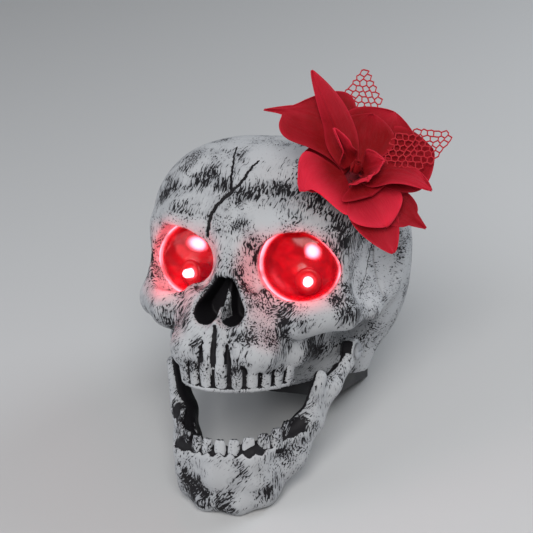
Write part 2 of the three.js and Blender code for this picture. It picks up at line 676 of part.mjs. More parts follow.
const FAR = 400;
const frontOfSeam = solid(boxBetween([-FAR, -FAR, -FAR], [FAR, SEAM_Y - CLEARANCE / 2, FAR]));
const behindSeam = solid(boxBetween([-FAR, SEAM_Y + CLEARANCE / 2, RIM_Z], [FAR, FAR, FAR]));
const SIDE = SKULL_WIDTH / 2 + 10;
const BACK_Y = BRAIN_Y + SKULL_LENGTH / 2 + 10;
const FRONT_Y = -84;
const TOP_Z = SKULL_HEIGHT + 10;
const LOW_Z = -8;
const FINE_X = 65;
const FINE_BACK_Y = -20;
const FINE_LOW_Z = 20;
const FINE_TOP_Z = 112;
const hollow = solid(skinOf(
  hollowField,
  evenLines(-SIDE, SIDE, HOLLOW_GRID),
  evenLines(FRONT_Y, BACK_Y, HOLLOW_GRID),
  evenLines(LOW_Z, TOP_Z, HOLLOW_GRID),
));

const faceOutside = solid(skinOf(
  (x, y, z) => max(craniumField(x, y, z), y - SEAM_Y - 2 * BROW_GRID),
  gradedLines(-SIDE, -FINE_X, FINE_X, SIDE, FACE_GRID, BROW_GRID),
  gradedLines(FRONT_Y, FRONT_Y + 2, FINE_BACK_Y, SEAM_Y + 4 * BROW_GRID, FACE_GRID, BROW_GRID),
  gradedLines(LOW_Z, FINE_LOW_Z, FINE_TOP_Z, TOP_Z, FACE_GRID, BROW_GRID),
)).intersect(frontOfSeam);

const rearOutside = solid(skinOf(
  (x, y, z) => max(craniumField(x, y, z), SEAM_Y - 2 * DOME_GRID - y),
  evenLines(-SIDE, SIDE, DOME_GRID),
  evenLines(SEAM_Y - 4 * DOME_GRID, BACK_Y, DOME_GRID),
  evenLines(LOW_Z, TOP_Z, DOME_GRID),
)).intersect(behindSeam);

function faceShell() {
  let body = faceOutside.subtract(hollow);
  for (const side of [1, -1]) {
    body = body.add(solid(sideRod(side, HINGE_BOSS, HINGE_BOSS_X - HINGE_GRIP, HINGE_BOSS_X)));
    body = body.subtract(solid(sideRod(side, JAW_EAR + 2 * WALL, HINGE_BOSS_X, HEAD_X + HINGE_HEAD)));
  }
  body = body.intersect(frontOfSeam);
  const palate = new THREE.SphereGeometry(1, 16, 10).scale(...PALATE.radii).translate(...PALATE.at);
  body = body.subtract(solid(palate)).subtract(noseCutter()).add(septumSolid());
  for (const tooth of toothSolids(UPPER_ARCH, UPPER_WIDTHS, 0, 1)) body = body.add(tooth);
  for (const side of [1, -1]) {
    body = body.subtract(socketCutter(side));
    const bore = sideRod(side, HINGE_SHANK + 2 * CLEARANCE, HINGE_BOSS_X - 20, HINGE_BOSS_X + 5, 16);
    body = body.subtract(solid(bore));
  }
  return body;
}

// Base screws stand in the corners of the housing, and go up into bosses of the rear shell.
const BASE_REAR_Y = BASE_FRONT_Y + BASE_LENGTH;
const BASE_MID_Y = (BASE_FRONT_Y + BASE_REAR_Y) / 2;
const BASE_TOP = RIM_Z - CLEARANCE;
const SCREW_PLACES = [1, -1].flatMap((side) => [
  [side * SCREW_FRONT_X, BASE_FRONT_Y + SCREW_INSET], [side * SCREW_REAR_X, BASE_REAR_Y - SCREW_INSET],
]);

function rearShell() {
  let body = rearOutside.subtract(hollow);
  for (const [x, y] of SCREW_PLACES) {
    const outward = Math.sign(x);
    const post = solid(rod("z", POST, RIM_Z, SCREW_LENGTH + 4, [x, y], 10));
    const low = [min(x, x + outward * RIB_REACH), y - WALL / 2, RIM_Z];
    const high = [max(x, x + outward * RIB_REACH), y + WALL / 2, SCREW_LENGTH + 4];
    body = body.add(post.add(solid(boxBetween(low, high))).intersect(rearOutside));
    const hole = rod("z", SCREW_SHANK + 2 * CLEARANCE, RIM_Z - 5, SCREW_LENGTH + 2, [x, y], 10);
    body = body.subtract(solid(hole));
  }
  return body;
}

const JAW_SIDE = 64;
const JAW_BACK_Y = 12;
const JAW_LOW_Z = -60;
const JAW_TOP_Z = 44;

function jawSolid() {
  let body = solid(skinOf(
    jawField,
    evenLines(-JAW_SIDE, JAW_SIDE, JAW_GRID),
    evenLines(FRONT_Y, JAW_BACK_Y, JAW_GRID),
    evenLines(JAW_LOW_Z, JAW_TOP_Z, JAW_GRID),
  ));
  for (const tooth of toothSolids(LOWER_ARCH, LOWER_WIDTHS, LOWER_SLOPE, -1)) body = body.add(tooth);
  for (const side of [1, -1]) {
    const outside = boxBetween([HEAD_X - CLEARANCE, HINGE_Y - JAW_EAR, HINGE_Z - JAW_EAR],
      [FAR, HINGE_Y + JAW_EAR, HINGE_Z + JAW_EAR]);
    const inside = boxBetween([0, HINGE_Y - JAW_EAR, HINGE_Z - JAW_EAR],
      [EAR_X, HINGE_Y + JAW_EAR, HINGE_Z + JAW_EAR]);
    for (const cut of [outside, inside]) {
      const turned = side > 0 ? cut : cut.rotateZ(Math.PI).translate(0, 2 * HINGE_Y, 0);
      body = body.subtract(solid(turned));
    }
    body = body.add(solid(sideRod(side, JAW_EAR, EAR_X, EAR_X + JAW_EAR_THICKNESS)));
    body = body.subtract(solid(sideRod(side, HINGE_SHANK + 2 * CLEARANCE, 0, FAR, 16)));
  }
  return body;
}

// Base housing: a shallow black box under the skull, with a battery bay that opens downwards

const BAY_LENGTH = CELL_LENGTH + SPRING_LENGTH + 2 * CONTACT + 5 * CLEARANCE;
const BAY_LOW_Y = BASE_FRONT_Y + BAY_FRONT;
const BAY_HIGH_Y = BAY_LOW_Y + BAY_DEPTH;
const CELL_Z = DOOR + 2 * CLEARANCE + CELL_DIAMETER / 2;
const BAY_TOP = CELL_Z + CELL_DIAMETER / 2 + CLEARANCE;
const DOOR_SCREW_Y = BAY_HIGH_Y + DOOR_TAB_OUT;
const SWITCH_Y = BASE_REAR_Y - SWITCH_FROM_REAR;
const SWITCH_LOW = BASE_WALL + CLEARANCE;
const BOARD_LOW = SWITCH_LOW + SWITCH_BODY[2] + CLEARANCE;

function bayBox(grow, low, high) {
  return boxBetween([-BAY_LENGTH / 2 - grow, BAY_LOW_Y - grow, low],
    [BAY_LENGTH / 2 + grow, BAY_HIGH_Y + grow, high]);
}

// The door's outline, a plate with a round tab for its screw, grown by a margin.
function doorBlank(grow, low, high) {
  const plate = solid(bayBox(DOOR_LIP + grow, low, high));
  return plate.add(solid(rod("z", DOOR_TAB + 2 * grow, low, high, [0, DOOR_SCREW_Y], 12)));
}

function screwRecess(x, y) {
  return solid(rod("z", SCREW_HEAD + 2 * CLEARANCE, -1, SCREW_HEAD_HEIGHT + CLEARANCE, [x, y], 10));
}

function screwHole(x, y, high) {
  return solid(rod("z", SCREW_SHANK + 2 * CLEARANCE, -1, high, [x, y], 10));
}

function baseHousing() {
  const block = (inset, low, height) => {
    const outline = roundedOutline(BASE_WIDTH - 2 * inset, BASE_LENGTH - 2 * inset, BASE_CORNER - inset);
    return solid(extrude(outline, height).translate(0, BASE_MID_Y, low));
  };
  const whole = block(0, 0, BAY_TOP + BASE_WALL);
  let body = block(0, 0, BASE_TOP).subtract(block(BASE_WALL, BASE_WALL, BASE_TOP));
  for (const [x, y] of SCREW_PLACES) body = body.add(solid(rod("z", POST, 1, BASE_TOP, [x, y], 10)));
  body = body.add(doorBlank(BASE_WALL / 2, 0, DOOR + BASE_WALL / 2));
  body = body.add(solid(rod("z", DOOR_TAB, 1, DOOR_BOSS_TOP, [0, DOOR_SCREW_Y], 12)));
  body = body.add(solid(bayBox(BASE_WALL / 2, 1, BAY_TOP + BASE_WALL / 2))).intersect(whole);
  body = body.subtract(solid(bayBox(0, -1, BAY_TOP))).subtract(doorBlank(CLEARANCE, -1, DOOR + CLEARANCE));
  for (const [x, y] of SCREW_PLACES) {
    body = body.subtract(screwHole(x, y, RIM_Z)).subtract(screwRecess(x, y));
  }
  body = body.subtract(screwHole(0, DOOR_SCREW_Y, DOOR_BOSS_TOP + 1));
  const slot = SWITCH_KNOB[0] + SWITCH_TRAVEL + 2 * CLEARANCE;
  const knob = SWITCH_KNOB[1] / 2 + CLEARANCE;
  const low = [-slot / 2, SWITCH_Y - knob, -1];
  return body.subtract(solid(boxBetween(low, [slot / 2, SWITCH_Y + knob, BASE_WALL + 1])));
}

function batteryDoor() {
  const blank = doorBlank(0, 0, DOOR);
  return blank.subtract(screwHole(0, DOOR_SCREW_Y, DOOR + 1)).subtract(screwRecess(0, DOOR_SCREW_Y));
}

function screwGeometry(length, x, y) {
  const head = SCREW_HEAD / 2;
  const shank = SCREW_SHANK / 2;
  const points = [[0, 0], [head * 0.8, 0], [head, SCREW_HEAD_HEIGHT / 2], [head, SCREW_HEAD_HEIGHT],
    [shank, SCREW_HEAD_HEIGHT], [shank, length - shank], [0, length]];
  return lathe(points, 10).rotateX(Math.PI / 2).translate(x, y, 0);
}

// Cells lie across the base and turn end for end, each with a spring behind its flat end.
const cellY = (i) => BAY_LOW_Y + CLEARANCE + (i + 0.5) * CELL_PITCH;
const cellWay = (i) => (i % 2 === 0 ? 1 : -1);
const BAY_END = BAY_LENGTH / 2;
const CONTACT_FACE = BAY_END - CLEARANCE - CONTACT;

function cellGeometry(i) {
  const radius = CELL_DIAMETER / 2;
  const nub = radius * 0.36;
  const body = CELL_LENGTH - CELL_NUB;
  const profile = [[0, 0], [radius, 0], [radius, body], [nub, body], [nub, CELL_LENGTH], [0, CELL_LENGTH]];
  const geometry = lathe(profile, 12);
  geometry.rotateZ(-Math.PI / 2).translate(CONTACT_FACE - CLEARANCE - CELL_LENGTH, 0, 0);
  if (cellWay(i) < 0) geometry.rotateZ(Math.PI);
  return geometry.translate(0, cellY(i), CELL_Z);
}

class Helix extends THREE.Curve {
  getPoint(t, target = new THREE.Vector3()) {
    const angle = 2 * Math.PI * SPRING_TURNS * t;
    const radius = (SPRING_WIDTH - SPRING_WIRE) / 2;
    const run = SPRING_LENGTH - SPRING_WIRE;
    return target.set(SPRING_WIRE / 2 + run * t, radius * cos(angle), radius * sin(angle));
  }
}

function tube(path, diameter, steps, sides) {
  const angles = Array.from({ length: sides }, (_, i) => 2 * Math.PI * i / sides);
  const corner = (a) => new THREE.Vector2(cos(a), sin(a)).multiplyScalar(diameter / 2);
  const section = new THREE.Shape(angles.map(corner));
  return new THREE.ExtrudeGeometry(section, { steps, bevelEnabled: false, extrudePath: path });
}

function springGeometry(i) {
  const geometry = tube(new Helix(), SPRING_WIRE, 7 * SPRING_TURNS, 5);
  geometry.translate(-CONTACT_FACE + CLEARANCE, 0, 0);
  if (cellWay(i) < 0) geometry.rotateZ(Math.PI);
  return geometry.translate(0, cellY(i), CELL_Z);
}

// A contact plate at one end of the bay (side 1 or -1) spans the cells from first to last.
function contactGeometry(side, first, last) {
  const half = CONTACT_SIZE / 2;
  const ends = [side * CONTACT_FACE, side * (CONTACT_FACE + CONTACT)].sort((a, b) => a - b);
  const low = [ends[0], cellY(first) - half, CELL_Z - half];
  return boxBetween(low, [ends[1], cellY(last) + half, CELL_Z + half]);
}

function switchBody() {
  const [length, width, height] = SWITCH_BODY;
  const low = [-length / 2, SWITCH_Y - width / 2, SWITCH_LOW];
  return boxBetween(low, [length / 2, SWITCH_Y + width / 2, SWITCH_LOW + height]);
}

// The knob stands at the on end of its slot and stays inside the floor's thickness.
function switchKnob() {
  const [length, width] = SWITCH_KNOB;
  const end = SWITCH_TRAVEL / 2 + length / 2;
  const low = [end - length, SWITCH_Y - width / 2, KNOB_RECESS];
  return boxBetween(low, [end, SWITCH_Y + width / 2, BASE_WALL]);
}

function circuitBoard() {
  const [length, width, thickness] = BOARD;
  const low = [-length / 2, SWITCH_Y - width / 2, BOARD_LOW];
  return boxBetween(low, [length / 2, SWITCH_Y + width / 2, BOARD_LOW + thickness]);
}

// A pair of wires in a sleeve, from the back of a lamp down to the board.
function leadGeometry(side) {
  const [x, z] = lampPlace(side);
  const onLamp = (y) => new THREE.Vector3(x, y, z).applyMatrix4(eyeMatrix(side));
  const start = onLamp(LED_BACK_Y + CLEARANCE);
  const neck = onLamp((LED_BACK_Y + CUP_DEPTH) / 2);
  const out = onLamp(CUP_DEPTH + LEAD_DIAMETER);
  const end = new THREE.Vector3(side * BOARD[0] / 3, SWITCH_Y, BOARD_LOW + BOARD[2] + CLEARANCE);
  const rise = new THREE.Vector3(end.x, end.y, end.z + 3 * LEAD_DIAMETER);
  const middle = out.clone().lerp(rise, 0.55).add(new THREE.Vector3(0, 0, 8));
  const path = new THREE.CatmullRomCurve3([start, neck, out, middle, rise, end], false, "centripetal");
  return tube(path, LEAD_DIAMETER, 16, 6);
}

// Hinge hardware on one side

function hingeScrew(side) {
  const head = HINGE_HEAD / 2;
  const shank = HINGE_SHANK / 2;
  const reach = HEAD_X - HINGE_BOSS_X + HINGE_GRIP;
  const points = [[0, -reach], [shank, shank - reach], [shank, 0], [head, 0], [head, HINGE_HEAD_HEIGHT * 0.5],
    [head * 0.6, HINGE_HEAD_HEIGHT], [0, HINGE_HEAD_HEIGHT]];
  return lathe(points, 12).rotateZ(-side * Math.PI / 2).translate(side * HEAD_X, ...HINGE);
}

function hingeWasher(side) {
  const low = HINGE_BOSS_X + CLEARANCE;
  const disc = solid(sideRod(side, HINGE_BOSS - 1, low, low + WASHER, 12));
  return disc.subtract(solid(sideRod(side, HINGE_SHANK + 2 * CLEARANCE, low - 1, low + WASHER + 1, 10)));
}

// Flower: layers of cut fabric petals and two wings of net, threaded on a peg that stands on a pad

// Where a ray from inside the skull leaves the bone.
function skinPoint(towards) {
  const start = new THREE.Vector3(0, 0, EYE_Z);
  const way = new THREE.Vector3(...towards).sub(start).normalize();
  let [low, high] = [0, 2 * SKULL_LENGTH];
  for (let i = 0; i < 40; i++) {
    const middle = (low + high) / 2;
    const here = start.clone().addScaledVector(way, middle);
    if (craniumField(here.x, here.y, here.z) < 0) low = middle;
    else high = middle;
  }
  return start.addScaledVector(way, low);
}

const flowerAxis = new THREE.Vector3(...FLOWER_AXIS).normalize();
const flowerAcross = new THREE.Vector3(...FLOWER_ACROSS);
flowerAcross.addScaledVector(flowerAxis, -flowerAcross.dot(flowerAxis)).normalize();
const flowerFrame = new THREE.Matrix4()
  .makeBasis(flowerAcross, flowerAxis.clone().cross(flowerAcross), flowerAxis)
  .setPosition(skinPoint(FLOWER_AT));

const FLANGE_LOW = PAD_HEIGHT + CLEARANCE;
const layerLow = (i) => FLANGE_LOW + PEG_FLANGE_HEIGHT + CLEARANCE + i * LAYER_STEP;

// A closed sheet of even thickness around a surface given by u from 0 to 1 and v from -1 to 1.
function sheetSolid(surface, uSteps, vSteps, thickness) {
  const nudge = 1e-3;
  const points = [];
  for (const side of [0.5, -0.5]) for (let i = 0; i <= uSteps; i++) for (let j = 0; j <= vSteps; j++) {
    const [u, v] = [i / uSteps, 2 * j / vSteps - 1];
    const alongU = surface(u + nudge, v).sub(surface(u - nudge, v));
    const alongV = surface(u, v + nudge).sub(surface(u, v - nudge));
    const normal = alongU.cross(alongV).normalize();
    points.push(...surface(u, v).addScaledVector(normal, side * thickness).toArray());
  }
  const row = vSteps + 1;
  const under = row * (uSteps + 1);
  const faces = [];
  const quad = (a, b, c, d) => faces.push(a, b, c, a, c, d);
  for (let i = 0; i < uSteps; i++) for (let j = 0; j < vSteps; j++) {
    const a = i * row + j;
    quad(a, a + row, a + row + 1, a + 1);
    quad(under + a, under + a + 1, under + a + row + 1, under + a + row);
  }
  for (let i = 0; i < uSteps; i++) {
    const [a, b] = [i * row, i * row + vSteps];
    quad(a, under + a, under + a + row, a + row);
    quad(b, b + row, under + b + row, under + b);
  }
  for (let j = 0; j < vSteps; j++) {
    const [a, b] = [j, uSteps * row + j];
    quad(a, a + 1, under + a + 1, under + a);
    quad(b, under + b, under + b + 1, b + 1);
  }
  const geometry = new THREE.BufferGeometry();
  geometry.setAttribute("position", new THREE.Float32BufferAttribute(points, 3));
  geometry.setIndex(faces);
  return solid(geometry);
}

// A petal runs out from the ring, rises with its lift, curls at its end and cups across its width.
function petalSurface(petal, low) {
  const start = LAYER_RING / 2 - 1.6;
  const turn = petal.azimuth * RADIANS;
  const lift = petal.lift * RADIANS;
  return (u, v) => {
    const run = u * petal.length;
    const swell = Math.pow(max(sin(Math.PI * Math.pow(min(max(u, 0), 1), petal.fullness)), 0), 0.75);
    const half = petal.width / 2 * swell + PETAL_ROOT / 2 * (1 - u) + PETAL_TIP / 2 * u;
    const across = v * half;
    const bend = petal.curl * u * u * petal.length + petal.cup * v * v * half * u
      + petal.ruffle * sin(5 * v + petal.azimuth) * u * u;
    const out = start + run * cos(lift) - bend * sin(lift);
    const up = low + FABRIC / 2 + run * sin(lift) + bend * cos(lift);
    return new THREE.Vector3(out * cos(turn) - across * sin(turn), out * sin(turn) + across * cos(turn), up);
  };
}

function petalLayer(layer, i) {
  const low = layerLow(i);
  let body = solid(rod("z", LAYER_RING, low, low + FABRIC, [0, 0], 12));
  for (const petal of layer.petals) {
    body = body.add(sheetSolid(petalSurface({ ...layer, ...petal }, low), 5, 4, FABRIC));
  }
  return body.subtract(solid(rod("z", PEG_DIAMETER + 2 * CLEARANCE, low - 20, low + 20, [0, 0], 10)));
}

function flowerPad() {
  const shift = flowerAxis.clone().multiplyScalar(CLEARANCE).toArray();
  const blank = rod("z", PAD_DIAMETER, -PAD_HEIGHT, PAD_HEIGHT, [0, 0], 14).applyMatrix4(flowerFrame);
  let body = solid(blank);
  for (const bone of [faceOutside, rearOutside]) body = body.subtract(bone).subtract(bone.translate(shift));
  return body;
}

function flowerPeg() {
  const radius = PEG_DIAMETER / 2;
  const top = layerLow(LAYERS.length);
  const base = FLANGE_LOW + PEG_FLANGE_HEIGHT;
  const flange = PEG_FLANGE / 2;
  const foot = [[0, FLANGE_LOW], [flange, FLANGE_LOW], [flange, base]];
  const points = [...foot, [radius, base], [radius, top], [0, top]];
  return lathe(points, 16).rotateX(Math.PI / 2);
}

function flowerBud() {
  const low = layerLow(LAYERS.length) + CLEARANCE;
  const points = [[0, 0], [0.3, 0], [0.42, 0.25], [0.36, 0.6], [0.2, 0.9], [0, 1]];
  return lathe(points.map(([r, h]) => [r * BUD_WIDTH, low + h * BUD_HEIGHT]), 12).rotateX(Math.PI / 2);
}

// A wing of hexagonal net: a fan with a hole for each cell that lies inside its outline.
function netWing(wing) {
  const { azimuth, length, width, level, lift } = wing;
  const root = LAYER_RING / 2 - NET_CLAMP;
  const halfAt = (y) => {
    const swell = max(0, sin(Math.PI * NET_FULLNESS * (y - root) / length));
    return NET_ROOT / 2 + (width - NET_ROOT) / 2 * swell;
  };
  const shape = new THREE.Shape();
  const edge = 10;
  const heights = Array.from({ length: edge + 1 }, (_, i) => root + length * i / edge);
  heights.splice(1, 0, root + NET_CLAMP);
  const right = heights.map((y) => new THREE.Vector2(halfAt(y), y));
  const left = heights.toReversed().map((y) => new THREE.Vector2(-halfAt(y), y));
  shape.setFromPoints([...right, ...left]);
  const reach = (NET_PITCH - NET_STRAND) / Math.sqrt(3);
  const rowStep = NET_PITCH * Math.sqrt(3) / 2;
  for (let row = 1; root + (row + 1) * rowStep < root + length; row++) {
    const y = root + row * rowStep;
    for (let column = -NET_COLUMNS; column <= NET_COLUMNS; column++) {
      const x = (column + (row % 2) / 2) * NET_PITCH;
      const margin = min(halfAt(y), halfAt(y - reach), halfAt(y + reach)) - NET_STRAND;
      if (abs(x) + NET_PITCH / 2 > margin) continue;
      const corner = (a) => new THREE.Vector2(x + reach * cos(a), y + reach * sin(a));
      const angles = Array.from({ length: 6 }, (_, k) => (k + 0.5) * Math.PI / 3);
      shape.holes.push(new THREE.Path(angles.map(corner)));
    }
  }
  const geometry = extrude(shape, NET_THICKNESS);
  const points = geometry.attributes.position;
  for (let i = 0; i < points.count; i++) {
    const out = max(0, points.getY(i) - root - NET_CLAMP);
    const wave = NET_WAVE * out / length * sin(points.getX(i) / 4);
    points.setZ(i, points.getZ(i) + out * Math.tan(lift * RADIANS) + wave);
  }
  const low = layerLow(level) - NET_THICKNESS - CLEARANCE;
  return geometry.translate(0, 0, low).rotateZ((azimuth - 90) * RADIANS);
}

// Assembly

const skull = new THREE.Group();
const place = (name, body, material) => {
  const geometry = geometryOf(body.isBufferGeometry ? solid(body) : body);
  const mesh = new THREE.Mesh(geometry, material);
  mesh.name = name;
  skull.add(mesh);
  return mesh;
};

const jaw = jawSolid();
const housing = baseHousing();

// The skull leans back on the rear edge of its base until the chin is down too.
function leanAngle(body) {
  const points = body.getMesh().vertProperties;
  let lean = 0;
  for (let i = 0; i < points.length; i += 3) {
    lean = max(lean, Math.atan2(-points[i + 2], BASE_REAR_Y - points[i + 1]));
  }
  return lean;
}

const lean = leanAngle(jaw);
const floorZ = REST_TRIM - BASE_REAR_Y * sin(lean);
const belowFloor = solid(boxBetween([-FAR, -FAR, floorZ - FAR], [FAR, FAR, floorZ]).rotateX(lean));

place("face_shell", faceShell(), BONE);
place("rear_shell", rearShell(), BONE);
place("jaw", jaw.subtract(belowFloor), BONE);
place("base_housing", housing.subtract(belowFloor), BLACK);
place("battery_door", batteryDoor(), BLACK);
place("battery_door_screw", screwGeometry(DOOR_SCREW_LENGTH, 0, DOOR_SCREW_Y), STEEL);
SCREW_PLACES.forEach(([x, y], i) => place(`base_screw_${i + 1}`, screwGeometry(SCREW_LENGTH, x, y), STEEL));
place("switch_body", switchBody(), BLACK);
place("switch_knob", switchKnob(), BLACK);
place("circuit_board", circuitBoard(), BOARD_GREEN);
for (let i = 0; i < CELL_COUNT; i++) {
  place(`battery_${i + 1}`, cellGeometry(i), CELL_JACKET);
  place(`battery_spring_${i + 1}`, springGeometry(i), STEEL);
}
place("contact_1", contactGeometry(1, 0, 1), STEEL);
place("contact_2", contactGeometry(1, 2, 2), STEEL);
place("contact_3", contactGeometry(-1, 0, 0), STEEL);
place("contact_4", contactGeometry(-1, 1, 2), STEEL);

for (const [side, word] of [[1, "left"], [-1, "right"]]) {
  const eye = eyeMatrix(side);
  const turned = (body) => geometryOf(body).applyMatrix4(eye);
  place(`hinge_screw_${word}`, hingeScrew(side), STEEL);
  place(`hinge_washer_${word}`, hingeWasher(side), BLACK);
  place(`eye_cup_${word}`, turned(cupSolid(side)), RED_CUP);
  place(`eye_lens_${word}`, turned(lensSolid(side)), RED_LENS);
  place(`led_${word}`, ledGeometry(side).applyMatrix4(eye), LED_RED);
  place(`led_holder_${word}`, turned(holderSolid(side)), RED_CUP);
  place(`led_lead_${word}`, leadGeometry(side), WIRE);
}

place("flower_pad", flowerPad(), FELT);
place("flower_peg", flowerPeg().applyMatrix4(flowerFrame), FELT);
LAYERS.forEach((layer, i) => {
  place(`petal_layer_${i + 1}`, geometryOf(petalLayer(layer, i)).applyMatrix4(flowerFrame), PETAL_RED);
});
place("flower_bud", flowerBud().applyMatrix4(flowerFrame), PETAL_RED);
for (const wing of NET_WINGS) place(`net_${wing.name}`, netWing(wing).applyMatrix4(flowerFrame), NET_RED);

const part = new THREE.Group();
skull.rotation.x = -lean;
part.add(skull);
part.updateMatrixWorld(true);
const stance = new THREE.Box3().setFromObject(part, true);
const middle = stance.getCenter(new THREE.Vector3());
skull.position.set(-middle.x, -middle.y, -stance.min.z);

export default part;
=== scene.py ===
"""Looks of a light-up halloween skull with a hinged jaw, red lens eyes and a fabric flower.

Shapes are worked out in millimetres in the skull's own level frame, with +X to the skull's left,
-Y out of the face and z = 0 at the bottom of its base, and are then leaned back as the part stands.
"""

import json
import math

import bmesh
import bpy
import numpy as np
from mathutils import Matrix, Vector


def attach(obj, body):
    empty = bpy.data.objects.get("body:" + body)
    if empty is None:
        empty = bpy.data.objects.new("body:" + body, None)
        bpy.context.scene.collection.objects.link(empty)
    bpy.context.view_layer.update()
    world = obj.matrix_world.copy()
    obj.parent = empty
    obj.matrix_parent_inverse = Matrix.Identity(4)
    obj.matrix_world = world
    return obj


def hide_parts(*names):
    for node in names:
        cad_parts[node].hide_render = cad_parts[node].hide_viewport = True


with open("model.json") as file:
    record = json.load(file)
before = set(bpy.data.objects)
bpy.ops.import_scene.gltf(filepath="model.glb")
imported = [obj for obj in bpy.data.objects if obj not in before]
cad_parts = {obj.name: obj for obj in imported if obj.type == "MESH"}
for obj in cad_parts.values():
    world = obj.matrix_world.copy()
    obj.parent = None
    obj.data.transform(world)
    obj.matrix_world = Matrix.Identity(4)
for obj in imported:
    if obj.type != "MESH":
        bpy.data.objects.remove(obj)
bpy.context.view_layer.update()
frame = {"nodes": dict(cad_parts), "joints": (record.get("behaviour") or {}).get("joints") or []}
JOINTS = {joint["name"]: joint for joint in frame["joints"]}

# How the part stands: the battery door lifts square to the base, and the hinge gives the place.
MM = 0.001
HINGE = np.array([0.0, -5.0, 31.0])
_, LEAN_SIN, LEAN_COS = [-part for part in JOINTS["battery_door_lift"]["axis"]]
TILT = np.array([[1, 0, 0], [0, LEAN_COS, LEAN_SIN], [0, -LEAN_SIN, LEAN_COS]])
PLACE = np.array(JOINTS["jaw_hinge"]["pos_m"]) / MM - TILT @ HINGE

# Sizes of the seam, the eyes and the teeth. Most of them are those of the solids.
SEAM_Y = 6.0
SEAM_GAP = 0.3
CLEARANCE = 0.3
RIM_Z = 14.0
EYE_AT = np.array([33.8, -34.0, 81.5])
EYE_RADII = np.array([22.5, 25.0, 21.5])
EYE_TURN = math.radians(17)
EYE_DROOP = math.radians(14)
EYELID = 14.5
EYELID_TURN = math.radians(24)
EYELID_BOW = 3.6
EYELID_HALF = 16.0
CUP_WALL = 1.4
CUP_RADII = EYE_RADII - CLEARANCE
LENS_SEAT = 2.0
LENS_THICKNESS = 1.4
LENS_DOME = 4.0
LED_RADIUS = 2.5
LED_LENGTH = 8.6
LED_OUT = 6.0
LED_BELOW = 9.0
LED_TIP_Y = 1.5
LED_SHOWN = 5.0
HOLDER_RADIUS = 7.5
NECK_RADIUS = 4.3
NOSE_BACK_Y = -43.0
UPPER_ARCH = {"half": 31.0, "depth": 38.0, "back": -32.0, "edge": 17.0, "height": 15.0, "thick": 7.0}
LOWER_ARCH = {"half": 31.5, "depth": 36.0, "back": -33.5, "edge": -9.0, "height": 13.0, "thick": 5.0}
UPPER_WIDTHS = (8.6, 7.6, 8.0, 7.8, 8.0, 9.4)
LOWER_WIDTHS = (7.0, 7.1, 7.5, 7.6, 8.0, 9.4)
LOWER_SLOPE = math.tan(math.radians(16))
LOWER_OUT = (1.2, 1.2, 2.2, 2.4, 2.0, 1.2)

# Spacing of the points that bone surfaces are made from
BONE_STEP = 1.25
JAW_STEP = 1.05


# Placing

def to_world(points):
    return (np.asarray(points, float) @ TILT.T + PLACE) * MM


def show(obj):
    bpy.context.scene.collection.objects.link(obj)


def paint(obj, material):
    obj.data.materials.clear()
    obj.data.materials.append(material)


def add_mesh(name, points, faces, material, body, node, smooth=True):
    """A piece from points in the skull's frame, riding on one body in place of a node."""
    mesh = bpy.data.meshes.new(name)
    mesh.from_pydata(to_world(points).tolist(), [], [list(map(int, f)) for f in faces])
    mesh.validate()
    mesh.update()
    if smooth:
        mesh.shade_smooth()
    else:
        mesh.shade_flat()
    obj = bpy.data.objects.new(name, mesh)
    show(obj)
    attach(obj, body)
    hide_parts(node)
    paint(obj, material)
    return obj


def add_values(obj, **layers):
    for name, values in layers.items():
        layer = obj.data.attributes.new(name, "FLOAT", "POINT")
        layer.data.foreach_set("value", np.asarray(values, np.float32))


# Bone forms: distance fields of balls and tapered bars, blended together

def ball(p, at, radii):
    q = (p - at) / radii
    near = np.linalg.norm(q, axis=1)
    slope = np.linalg.norm(q / radii, axis=1)
    return near * (near - 1) / np.maximum(slope, 1e-9)


def bar(p, start, end, start_radius, end_radius):
    start, run = np.asarray(start, float), np.subtract(end, start).astype(float)
    away = p - start
    t = np.clip(away @ run / (run @ run), 0, 1)
    gap = np.linalg.norm(away - t[:, None] * run, axis=1)
    return gap - start_radius - (end_radius - start_radius) * t


def join(a, b, reach):
    h = np.maximum(reach - np.abs(a - b), 0) / reach
    return np.minimum(a, b) - h * h * reach / 4


def cut(a, b, reach):
    return -join(-a, b, reach)


def ramp(value, low, high):
    t = np.clip((value - low) / (high - low), 0, 1)
    return t * t * (3 - 2 * t)


def with_balls(d, p, balls, blend=join):
    for at, radii, reach in balls:
        d = blend(d, ball(p, at, radii), reach)
    return d


def with_bars(d, p, bars, blend=join):
    for start, end, start_radius, end_radius, reach in bars:
        d = blend(d, bar(p, start, end, start_radius, end_radius), reach)
    return d


